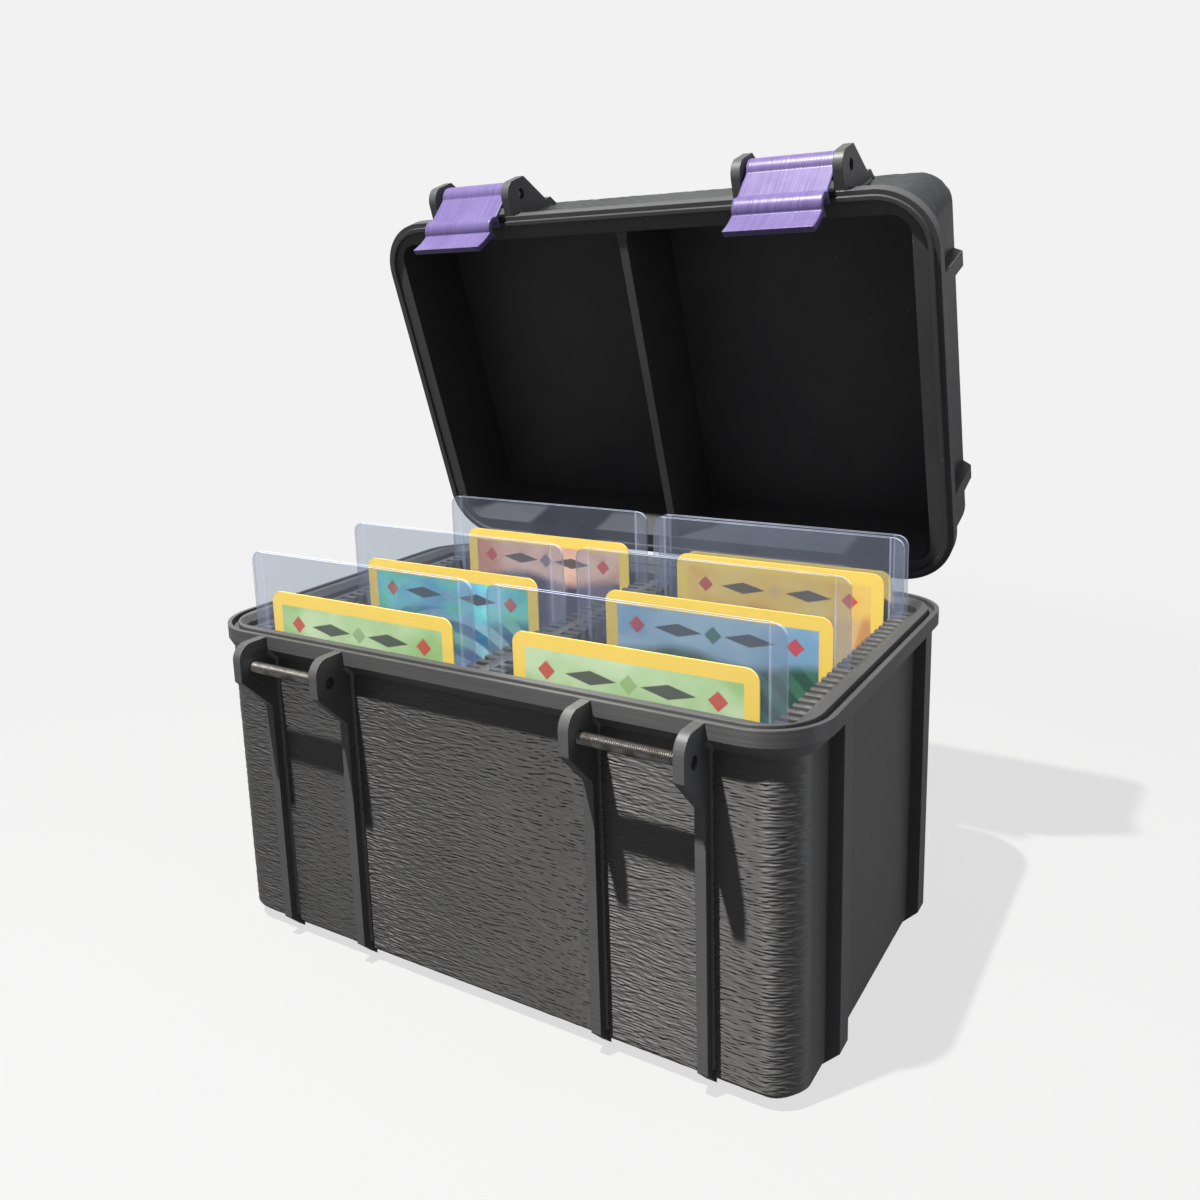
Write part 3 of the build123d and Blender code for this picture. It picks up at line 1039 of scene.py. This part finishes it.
@dataclass
class ThreadedScrew:
    """A machine screw across a pair of ears: socket head at one end, thread to a chamfered tip at the other."""

    name: str
    x: float
    y: float
    z: float
    way: float = 1.0
    hangs: bool = False
    radius: float = 1.5
    pitch: float = 0.5
    thread: float = 0.24
    head_radius: float = 2.75
    head: float = 1.4
    key: float = 1.15
    key_depth: float = 0.9
    length: float = 29.0
    columns: int = 30
    rows_per_pitch: int = 8

    @staticmethod
    def rings(profile: Sequence[tuple[float, float]], shape: np.ndarray) -> np.ndarray:
        """Rings of the screw: each (distance, radius) of a profile, with the radius times a shape about the axis."""
        distance, radius = np.array(profile).T[:, :, None]
        return np.stack(np.broadcast_arrays(distance, radius * shape), axis=-1)

    def build(self) -> bpy.types.Object:
        """Revolve the head's profile, with a six-sided socket, into a helical thread: the radius falls as a
        triangle wave of distance over pitch less turn.

        Returns:
            The screw, from the socket's floor to the tip.
        """
        turn = np.linspace(0.0, FULL_TURN, self.columns, endpoint=False)
        sixth = np.mod(turn, math.pi / 3) - math.pi / 6
        hexagon = self.key * math.cos(math.pi / 6) / np.cos(sixth)
        disc = np.ones(self.columns)
        socket = [(self.key_depth, 0.15), (self.key_depth, 0.97), (0.1, 1.0), (0.0, 1.08)]
        r, h = self.head_radius, self.head
        face = [(0.0, 1.5), (0.0, r - 0.35), (0.06, r - 0.12), (0.3, r), (h - 0.1, r), (h, r - 0.1),
                (h, self.radius + 0.05)]
        along = np.arange(h + 0.02, self.length - 0.35, self.pitch / self.rows_per_pitch)[:, None]
        phase = np.mod(along / self.pitch - turn[None, :] / FULL_TURN, 1.0)
        cut = self.thread * np.abs(2 * phase - 1) * np.clip((self.length - along) / 0.8, 0.2, 1.0)
        thread = np.stack([np.broadcast_to(along, cut.shape), self.radius - cut], axis=-1)
        tip = [(self.length - 0.3, self.radius - 0.26), (self.length, self.radius - 0.5), (self.length, 0.2)]
        grid = np.concatenate([
            self.rings(socket, hexagon), self.rings(face, disc), thread, self.rings(tip, disc)
        ])
        points = np.stack([
            self.x - self.way * SIZES.pair_half + self.way * grid[..., 0],
            self.y + grid[..., 1] * np.cos(turn)[None, :],
            self.z + grid[..., 1] * np.sin(turn)[None, :],
        ], axis=-1).reshape(-1, 3)
        if self.hangs:
            points = SIZES.latch_swing(points)
        ring = np.arange(self.columns)
        order = -1 if self.way < 0 else 1
        quads = grid_quads(len(grid), self.columns, True)
        caps = np.stack([ring[::-1], (len(grid) - 1) * self.columns + ring])
        return make_object(self.name, points, [quads[:, ::order], caps[:, ::order]], sharp=50.0)


@dataclass
class Latch:
    """A printed latch: barrel on its screw, web, hook and finger tab, in one softly rounded section."""

    side: str
    x: float
    half_width: float = 12.0
    barrel: float = 3.65
    bore: float = 1.55
    drop: float = 13.95
    hook: float = 1.7
    hook_outer: float = 3.3
    tab_root: float = 20.7
    tab_end: float = 24.35
    softness: float = 0.2
    spacing: float = 0.12

    @staticmethod
    def arc(centre: float, radius: float, start: float, end: float) -> np.ndarray:
        """Points of an arc about a place along the latch; degrees go from the tab's way to the outside."""
        t = np.radians(np.linspace(start, end, 60))
        return np.column_stack([centre + radius * np.cos(t), radius * np.sin(t)])

    def outline(self) -> np.ndarray:
        """Section of the latch: arcs and lines, spaced evenly and rounded by a Gaussian mean along the outline.

        Returns:
            Points (along, out) of the closed outline.
        """
        d, h, o = self.drop, self.hook, self.hook_outer
        tab = [(self.tab_root, -0.1), (self.tab_end, 1.0), (self.tab_end, 2.9), (self.tab_root, 1.75)]
        corners = np.concatenate([
            self.arc(0.0, self.barrel, 42.0, 386.4),
            [(d - o, 1.0), (d - h - 0.5, -1.7), (d - h, -1.7)],
            self.arc(d, h, 180.0, 0.0),
            [(d + h, -2.2), (d + h + 0.6, -2.2), (d + o, -0.7), *tab],
            self.arc(d, o, 21.3, 143.0),
        ])
        closed = np.concatenate([corners, corners[:1]])
        reach = np.concatenate([[0.0], np.cumsum(np.hypot(*np.diff(closed, axis=0).T))])
        count = int(reach[-1] / self.spacing)
        even = np.linspace(0.0, reach[-1], count, endpoint=False)
        line = np.column_stack([np.interp(even, reach, closed[:, 0]), np.interp(even, reach, closed[:, 1])])
        rate = np.fft.fftfreq(count, d=reach[-1] / count)
        blur = np.exp(-2 * (math.pi * rate * self.softness) ** 2)[:, None]
        return np.real(np.fft.ifft(np.fft.fft(line, axis=0) * blur, axis=0))

    def sections(self, line: np.ndarray) -> tuple[np.ndarray, np.ndarray]:
        """Places across the latch, and the section at each, drawn in a little towards both ends.

        Args:
            line: The latch's outline.

        Returns:
            The places from the latch's middle, and the sections' points.
        """
        tangent = np.roll(line, -1, axis=0) - np.roll(line, 1, axis=0)
        tangent /= np.linalg.norm(tangent, axis=1)[:, None]
        inward = np.column_stack([-tangent[:, 1], tangent[:, 0]])
        middle = np.linspace(-self.half_width + 0.8, self.half_width - 0.8, 13)
        end, drawn = np.array([0.0, 0.06, 0.25]), np.array([0.22, 0.08, 0.0])
        across = np.concatenate([end - self.half_width, middle, self.half_width - end[::-1]])
        draw = np.concatenate([drawn, np.zeros(len(middle)), drawn[::-1]])
        return across, line[None] + draw[:, None, None] * inward[None]

    def build(self) -> bpy.types.Object:
        """Carry the section across the latch and close its ends round the bore.

        Returns:
            The latch, hanging from the open lid.
        """
        line = self.outline()
        across, flat = self.sections(line)
        turn = np.linspace(0.0, FULL_TURN, 40, endpoint=False)
        hole = self.bore * np.column_stack([np.cos(turn), np.sin(turn)])
        n, m, k = len(line), len(hole), len(across)
        sections = np.concatenate([flat, np.broadcast_to(hole[None], (k, m, 2))], axis=1)
        x = np.broadcast_to((self.x + across)[:, None], (k, n + m))
        points = np.stack([x, SIZES.pin_y - sections[..., 1], SIZES.pivot_z - sections[..., 0]], axis=-1)
        grid = np.arange(k * (n + m)).reshape(k, n + m)
        skin = np.concatenate([strip_quads(a, b) for a, b in zip(grid[:-1, :n], grid[1:, :n])])
        tube = np.concatenate([strip_quads(b, a) for a, b in zip(grid[:-1, n:], grid[1:, n:])])
        loops = [[(a, b, 0.0) for a, b in part] for part in (sections[0, :n], sections[0, n:])]
        caps = np.array([tuple(t) for t in tessellate_polygon(loops)])
        a, b, c = (sections[0][caps[:, i]] for i in range(3))
        area = (b[:, 0] - a[:, 0]) * (c[:, 1] - a[:, 1]) - (b[:, 1] - a[:, 1]) * (c[:, 0] - a[:, 0])
        caps = np.where((area > 0)[:, None], caps, caps[:, ::-1])[np.abs(area) > 1e-9]
        groups = [skin, tube, caps, caps[:, ::-1] + (k - 1) * (n + m)]
        points = SIZES.latch_swing(points.reshape(-1, 3))
        return make_object(f"silk_latch_{self.side}", points, groups, sharp=50.0)


@dataclass
class Plate:
    """A thin upright plate with rounded corners."""

    place: str
    x: float
    y: float

    def heights(self, rows: int) -> np.ndarray:
        """Heights up the plate, close together at its corners, with a number of rows in each corner.

        Args:
            rows: Rows in each corner.

        Returns:
            The heights above its foot.
        """
        rise = self.radius * (1 - np.cos(np.linspace(0.0, math.pi / 2, rows)))
        middle = np.linspace(self.radius, self.height - self.radius, 8)[1:-1]
        return np.concatenate([rise, middle, self.height - rise[::-1]])

    def half_widths(self, z: np.ndarray) -> np.ndarray:
        """Half the plate's width at heights above its foot."""
        short = np.maximum(0.0, self.radius - np.minimum(z, self.height - z))
        return self.width / 2 - self.radius + np.sqrt(self.radius**2 - short**2)


@dataclass
class Sleeve(Plate):
    """A rigid clear sleeve: two sheets that part into a pocket and meet in bands at the sides and foot."""

    seat: float = 5.6
    width: float = 76.2
    height: float = 101.6
    band: float = 4.0
    foot: float = 3.0
    radius: float = 3.0
    sheet: float = 0.4
    gap: float = 0.45
    closed: float = 0.05
    crease: float = 0.35

    def spread(self, x: np.ndarray, z: np.ndarray) -> np.ndarray:
        """Half the gap between the sheets: a smooth step from nearly closed in the bands to open in the pocket.

        Args:
            x: Distances from the sleeve's middle.
            z: Heights above its foot.

        Returns:
            How far each sheet's inner face stands from the middle.
        """
        inside = np.minimum(self.width / 2 - self.band - np.abs(x), z - self.foot)
        t = np.clip(inside / (2 * self.crease) + 0.5, 0.0, 1.0)
        return self.closed + (self.gap - self.closed) * smooth_step(t)

    def build(self) -> bpy.types.Object:
        """Make both sheets: a grid over width and height, with an outer and an inner face closed round the rim.

        Returns:
            The sleeve; its map's U marks pocket, bands and cut edges.
        """
        edge = self.width / 2
        inner = edge - self.band
        crease = self.crease * np.array([-1.0, 0.0, 1.0])
        z = np.sort(np.concatenate([self.heights(8), self.foot + crease]))
        half = self.half_widths(z)
        right = np.array([20.0, *(inner + crease), edge])
        u = np.concatenate([-right[::-1], [0.0], right])
        x = np.clip(u[None, :], -half[:, None], half[:, None])
        x = np.where(np.abs(u)[None, :] == edge, np.sign(u)[None, :] * half[:, None], x)
        zz = np.broadcast_to(z[:, None], x.shape)
        spread = self.spread(x, zz)
        zone = np.where((np.abs(x) > inner + 0.1) | (zz < self.foot - 0.1), 1.0, 0.0)
        faces = np.concatenate([
            np.stack([self.x + x, self.y + way * (spread + face), self.seat + zz], axis=-1).reshape(-1, 3)
            for way in SIDES for face in (0.0, self.sheet)
        ])
        quads, rim = grid_quads(*x.shape), rim_loop(*x.shape)
        points, groups, count = [faces], [], len(faces)
        for index, way in enumerate(SIDES):
            near, far = 2 * index * x.size, (2 * index + 1) * x.size
            order = 1 if way < 0 else -1
            ring = count + np.arange(len(rim))
            wall = strip_quads(ring + len(rim), ring)
            groups += [quads[:, ::order] + far, quads[:, ::-order] + near, wall[:, ::order]]
            points += [faces[rim + far], faces[rim + near]]
            count += 2 * len(rim)
        uv = np.zeros((count, 2))
        uv[:, 0] = 2.0
        uv[:len(faces), 0] = np.tile(zone.ravel(), 4)
        return make_object(f"clear_sleeve_{self.place}", np.concatenate(points), groups, uv=uv, sharp=30.0)


@dataclass
class Card(Plate):
    """A printed card in its sleeve, with rounded corners."""

    foot: float = 8.6
    width: float = 63.0
    height: float = 88.0
    thickness: float = 0.4
    radius: float = 3.2
    columns: int = 9

    def build(self) -> bpy.types.Object:
        """Make the card: a grid over width and height with a front and a back face, closed round the rim.

        Returns:
            The card; its map holds millimetres from its middle, and its back has a material of its own.
        """
        z = self.heights(9)
        x = self.half_widths(z)[:, None] * np.linspace(-1.0, 1.0, self.columns)[None, :]
        zz = np.broadcast_to(z[:, None], x.shape)
        points = np.concatenate([
            np.stack([self.x + x, np.full(x.shape, self.y + way * self.thickness / 2), self.foot + zz], axis=-1)
            .reshape(-1, 3) for way in SIDES
        ])
        uv = np.column_stack([x.ravel(), zz.ravel() - self.height / 2])
        quads, rim = grid_quads(*x.shape), rim_loop(*x.shape)
        groups = [quads, quads[:, ::-1] + x.size, strip_quads(rim + x.size, rim)]
        obj = make_object(f"printed_card_{self.place}", points, groups, uv=np.concatenate([uv, uv]), sharp=30.0)
        index = np.zeros(len(obj.data.polygons), dtype=np.int32)
        index[len(quads):2 * len(quads)] = 1
        obj.data.polygons.foreach_set("material_index", index)
        return obj


@dataclass
class Studio:
    """Pale floor that fades into the backdrop, soft lamps, and the camera at the photograph's angle."""

    backdrop: float = 0.887
    floor_radius: float = 4000.0
    floor_drop: float = 0.3
    floor_colour: float = 0.066
    floor_glow: float = 0.7
    floor_bounce: float = 0.2
    fade: tuple[float, float] = (0.22, 0.5)
    fill: float = 0.36
    fill_colour: Colour = (0.94, 0.97, 1.0)
    dim: float = 0.15
    aim: Vector = (0.0, -0.056, 0.075)
    key_power: float = 33.0
    key_size: float = 0.022
    key_distance: float = 0.98
    key_way: Vector = (-0.118, -0.301, 0.947)
    key_colour: Colour = (1.0, 0.98, 0.95)
    side_share: float = 0.055
    side_size: float = 0.4
    side_distance: float = 0.8
    side_way: Vector = (0.9, 0.3, 0.22)
    side_colour: Colour = (0.95, 0.98, 1.0)
    camera_at: Vector = (0.156281, -0.246156, 0.174737)
    azimuth: float = 32.0259
    elevation: float = 11.2244
    roll: float = -1.8189
    lens: float = 32.7338
    shift: tuple[float, float] = (0.014632, -0.076268)

    def floor(self) -> None:
        """Lay a disc under the box: rings of points about its middle, at the height of the underside."""
        radius = np.concatenate([np.linspace(20.0, 600.0, 12), np.linspace(800.0, self.floor_radius, 8)])[:, None]
        turn = np.linspace(0.0, FULL_TURN, 64, endpoint=False)
        x, y = radius * np.cos(turn), radius * np.sin(turn)
        grid = np.stack([x, y, np.full(x.shape, -self.floor_drop)], axis=-1)
        faces = [grid_quads(*x.shape, True)[:, ::-1], np.arange(len(turn))[None, :]]
        obj = make_object("studio_floor", grid.reshape(-1, 3), faces)
        shader = Shader(bpy.data.materials.new("studio_floor"))
        seen = shader.ray("Camera")
        base = shader.principled(
            Base_Color=rgba(grey(self.floor_colour)), Roughness=0.9, Specular_IOR_Level=0.0,
            Emission_Color=rgba(grey(self.floor_glow)),
            Emission_Strength=seen.math("MAXIMUM", self.floor_bounce),
        )
        away = shader.add("VectorMath", operation="LENGTH")
        shader.feed(away.inputs[0], shader.place(1.0))
        far = Value(shader, away.outputs["Value"]).ramp(*self.fade)
        glow = shader.add("Emission")
        glow.inputs["Color"].default_value = rgba(grey(self.backdrop))
        shader.blend(far * seen, base, glow)
        obj.data.materials.append(shader.owner)

    def world(self) -> None:
        """Weak fill from all sides; a gloss sees a wall that is bright behind the box, a camera the backdrop."""
        world = bpy.data.worlds.new("studio_world")
        bpy.context.scene.world = world
        shader = Shader(world, "OutputWorld")
        azimuth = math.radians(self.azimuth)
        facing = shader.add("VectorMath", operation="DOT_PRODUCT")
        shader.feed(facing.inputs[0], shader.add("TexCoord").outputs["Generated"])
        facing.inputs[1].default_value = (-math.sin(azimuth), math.cos(azimuth), 0.0)
        bright = Value(shader, facing.outputs["Value"]).ramp(0.25, 0.85, self.dim, self.backdrop, kind="LINEAR")
        fill = shader.background(self.fill_colour, self.fill)
        lit = shader.blend(shader.ray("Glossy"), fill, shader.background(grey(1.0), bright))
        shader.blend(shader.ray("Camera"), lit, shader.background(grey(self.backdrop), 1.0))

    def lamp(self, name: str, way: Vector, distance: float, size: float, power: float, colour: Colour) -> None:
        """Hang a square lamp on a line from the middle of the box and aim it there.

        Args:
            name: Name of the lamp.
            way: Direction from the box to the lamp.
            distance: Metres from the box.
            size: Side of the lamp in metres.
            power: Power in watts.
            colour: Colour of its light.
        """
        data = bpy.data.lights.new(name, "AREA")
        data.size = size
        data.energy = power
        data.color = colour
        unit = np.array(way) / np.linalg.norm(way)
        right = np.cross((0.0, 0.0, 1.0), unit)
        right /= np.linalg.norm(right)
        axes = (right, np.cross(unit, right), unit)
        link_at(bpy.data.objects.new(name, data), axes, np.array(self.aim) + unit * distance)

    def camera(self) -> None:
        """Set the camera: its line of sight from azimuth and elevation, then the roll about that line."""
        az, el, ro = (math.radians(v) for v in (self.azimuth, self.elevation, self.roll))
        ahead = np.array([-math.sin(az) * math.cos(el), math.cos(az) * math.cos(el), -math.sin(el)])
        level = np.array([math.cos(az), math.sin(az), 0.0])
        below = np.cross(ahead, level)
        right = math.cos(ro) * level - math.sin(ro) * below
        down = math.sin(ro) * level + math.cos(ro) * below
        data = bpy.data.cameras.new("studio_camera")
        data.lens = self.lens
        data.sensor_width = 36.0
        data.shift_x, data.shift_y = self.shift
        data.clip_start = 0.01
        obj = bpy.data.objects.new("studio_camera", data)
        link_at(obj, (right, -down, -ahead), self.camera_at)
        bpy.context.scene.camera = obj

    def build(self) -> None:
        """Build the whole studio."""
        self.floor()
        self.world()
        self.lamp("key_lamp", self.key_way, self.key_distance, self.key_size, self.key_power, self.key_colour)
        side_power = self.key_power * self.side_share
        self.lamp("side_lamp", self.side_way, self.side_distance, self.side_size, side_power, self.side_colour)
        self.camera()
        bpy.context.scene.view_settings.view_transform = "Standard"


@dataclass
class PrintedBox:
    """The printed base and lid: finishes for their solids, textured walls and corner beads."""

    plain: PrintedPlastic = PrintedPlastic(
        "printed_charcoal", (0.05, 0.051, 0.052), roughness=0.56, specular=0.5, brushed=0.7
    )
    # The lid's plain plastic is a little darker and bluer than the base's: painted shade, set for the dim hollow of
    # the lid.
    lid_plain: PrintedPlastic = PrintedPlastic(
        "printed_charcoal_lid_painted_shade", (0.045, 0.045, 0.047), specular=0.3, layer_tilt=SIZES.lid_open
    )
    walls: PrintedPlastic = PrintedPlastic(
        "printed_wave_wall", (0.04, 0.04, 0.04), roughness=0.64, specular=0.8, brushed=0.85,
        edge=0.00001, specks=0.0, layer_depth=0.00003,
    )
    # The lid's wall plastic is a darker copy of the base's wall plastic: painted shade on the open lid's outer
    # walls.
    lid_walls: PrintedPlastic = PrintedPlastic(
        "printed_wave_lid_painted_shade", (0.018, 0.02, 0.021), roughness=0.5, specular=0.45, brushed=0.4,
        edge=0.00001, specks=0.0, layer_depth=0.00003, layer_tilt=SIZES.lid_open,
    )
    # The beads' plastic is paler than the plain plastic: a painted highlight along the corner at each rib's root.
    bead: PrintedPlastic = PrintedPlastic("printed_bead_painted_highlight", (0.07, 0.07, 0.072), roughness=0.36, specks=0.0)
    slot: str = "box_plastic"
    side_seam: float = 9.5

    def dress_solids(self, nodes: dict[str, bpy.types.Object]) -> None:
        """Give the solids of the base and lid their printed finish.

        Args:
            nodes: The frame's nodes by name.
        """
        for finish, names in (
            (self.plain, ("base_shell", "left_slot_rack", "right_slot_rack", "centre_slot_rack")),
            (self.lid_plain, ("lid_shell", "lid_divider")),
        ):
            material = finish.material()
            for name in names:
                for slot in nodes[name].material_slots:
                    slot.material = material

    def skins(self) -> list[WallSkin]:
        """The shells of texture: eight round the base, which meet under its ribs, and a ring round the lid.

        Returns:
            The shells, not yet built.
        """
        path = WallPath()
        length, half, rib = path.length, path.length / 2, SIZES.rib_centres[2]
        side, far = path.knots[0][2] + self.side_seam, path.knots[0][3] - self.side_seam
        seams = (-side, -rib, rib, side, far, half - rib, half + rib, length - far, length - side)
        fine, coarse = dict(step_s=0.5, step_z=0.14), dict(step_s=0.8, step_z=0.3)
        names = ("front_left", "front_middle", "front_right", "right")
        names += ("back_right", "back_middle", "back_left", "left")
        skins = [
            WallSkin(f"wave_{name}", start, end, 0.4, 81.5, **(fine if name.startswith("front") else coarse))
            for name, start, end in zip(names, seams[:-1], seams[1:])
        ]
        return [*skins, WallSkin("wave_lid", 0.0, length, 94.9, 117.0, step_s=0.8, step_z=0.27, on_lid=True)]

    def build(self) -> None:
        """Make the textured walls and the corner beads."""
        finishes = {False: self.walls.material(), True: self.lid_walls.material()}
        for skin in self.skins():
            settle(skin.build(), "lid" if skin.on_lid else "base", [finishes[skin.on_lid]])
        bead = self.bead.material()
        for on_lid in (False, True):
            settle(RibFillets(on_lid).build(), "lid" if on_lid else "base", [bead])


@dataclass
class Fastenings:
    """The six screws and the two latches."""

    steel: ScrewSteel = ScrewSteel("screw_steel_dark", (0.28, 0.27, 0.26), (0.13, 0.115, 0.1))
    silk: SilkPlastic = SilkPlastic("latch_silk", (0.073, 0.054, 0.145), (0.098, 0.076, 0.185))

    def build(self) -> None:
        """Make the screws and latches and set each on its body."""
        steel, silk = self.steel.material(), self.silk.material()
        for side, x in (("left", -SIZES.pair_centre), ("right", SIZES.pair_centre)):
            for kind, y, z, body in (
                ("catch", SIZES.pin_y, SIZES.catch_z, "base"),
                ("hinge", SIZES.hinge_y, SIZES.hinge_z, "base"),
                ("latch", SIZES.pin_y, SIZES.pivot_z, f"latch_pivot_{side}"),
            ):
                way = -1.0 if (kind, side) == ("hinge", "right") else 1.0
                node = f"{kind}_screw_{side}"
                screw = ThreadedScrew(f"threaded_{node}", x, y, z, way, hangs=kind == "latch")
                settle(screw.build(), body, [steel], node)
            settle(Latch(side, x).build(), f"latch_arm_{side}", [silk], f"latch_{side}")


@dataclass
class StoredCards:
    """The seven sleeves and the cards in them."""

    column: float = 40.3
    pitch: float = 3.7
    middle_slot: int = 12
    play: float = 2.6

    @staticmethod
    def cards() -> list[tuple[str, int, int, float, tuple]]:
        """Each card's place, column, slot from the front, shift in its sleeve, and colours and pattern.

        Returns:
            One row for each card.
        """
        green, lime = (0.34, 0.56, 0.2), (0.66, 0.8, 0.5)
        teal, aqua = (0.06, 0.5, 0.5), (0.24, 0.78, 0.74)
        brick, blush = (0.6, 0.24, 0.14), (0.86, 0.58, 0.46)
        blue, sky = (0.2, 0.38, 0.56), (0.46, 0.62, 0.72)
        amber, straw = (0.88, 0.5, 0.05), (0.94, 0.66, 0.2)
        plum, mauve = (0.3, 0.2, 0.36), (0.6, 0.48, 0.6)
        return [
            ("front_left", -1, 0, 0.0, (green, lime, (0.1, 0.22, 0.1), (0.3, 0.46, 0.2), Motif.WAVES)),
            ("middle_left", -1, 11, -0.8, (teal, aqua, (0.04, 0.2, 0.3), (0.3, 0.6, 0.62), Motif.RINGS, 0.08)),
            ("back_left", -1, 24, 0.0, (brick, blush, (0.06, 0.06, 0.1), (0.2, 0.16, 0.2), Motif.RAYS)),
            ("front_right", 1, 0, 0.2, (green, lime, (0.12, 0.25, 0.08), (0.34, 0.5, 0.2), Motif.STRIPES)),
            ("middle_right", 1, 11, 0.9, (blue, sky, (0.02, 0.09, 0.05), (0.05, 0.17, 0.1), Motif.LOZENGES)),
            ("next_right", 1, 23, 0.5, (amber, straw, (0.66, 0.3, 0.1), (0.8, 0.55, 0.2), Motif.RAYS)),
            ("back_right", 1, 24, 0.9, (plum, mauve, (0.16, 0.1, 0.22), (0.4, 0.3, 0.46), Motif.RINGS)),
        ]

    def build(self) -> None:
        """Make the sleeves and cards and set each on its body."""
        clear = ClearSheet("sleeve_clear_sheet", (0.6, 0.65, 0.84)).material()
        back = CardBack("card_back_lozenge").material()
        for place, column, slot, shift, look in self.cards():
            x, y = column * self.column, (slot - self.middle_slot) * self.pitch
            body, node = f"stored_{place}", f"card_{place}"
            settle(Sleeve(place, x, y).build(), body, [clear], f"sleeve_{place}")
            card = Card(place, x + shift * self.play, y).build()
            settle(card, body, [CardPrint(f"card_print_{place}", *look).material(), back], node)


def main() -> None:
    """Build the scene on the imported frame."""
    logging.basicConfig(level=logging.INFO, format="%(name)s: %(message)s")
    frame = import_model()
    Studio().build()
    box = PrintedBox()
    box.dress_solids(frame["nodes"])
    box.build()
    Fastenings().build()
    StoredCards().build()
    bpy.context.scene.cycles.transparent_max_bounces = 48


if __name__ == "__main__":
    main()
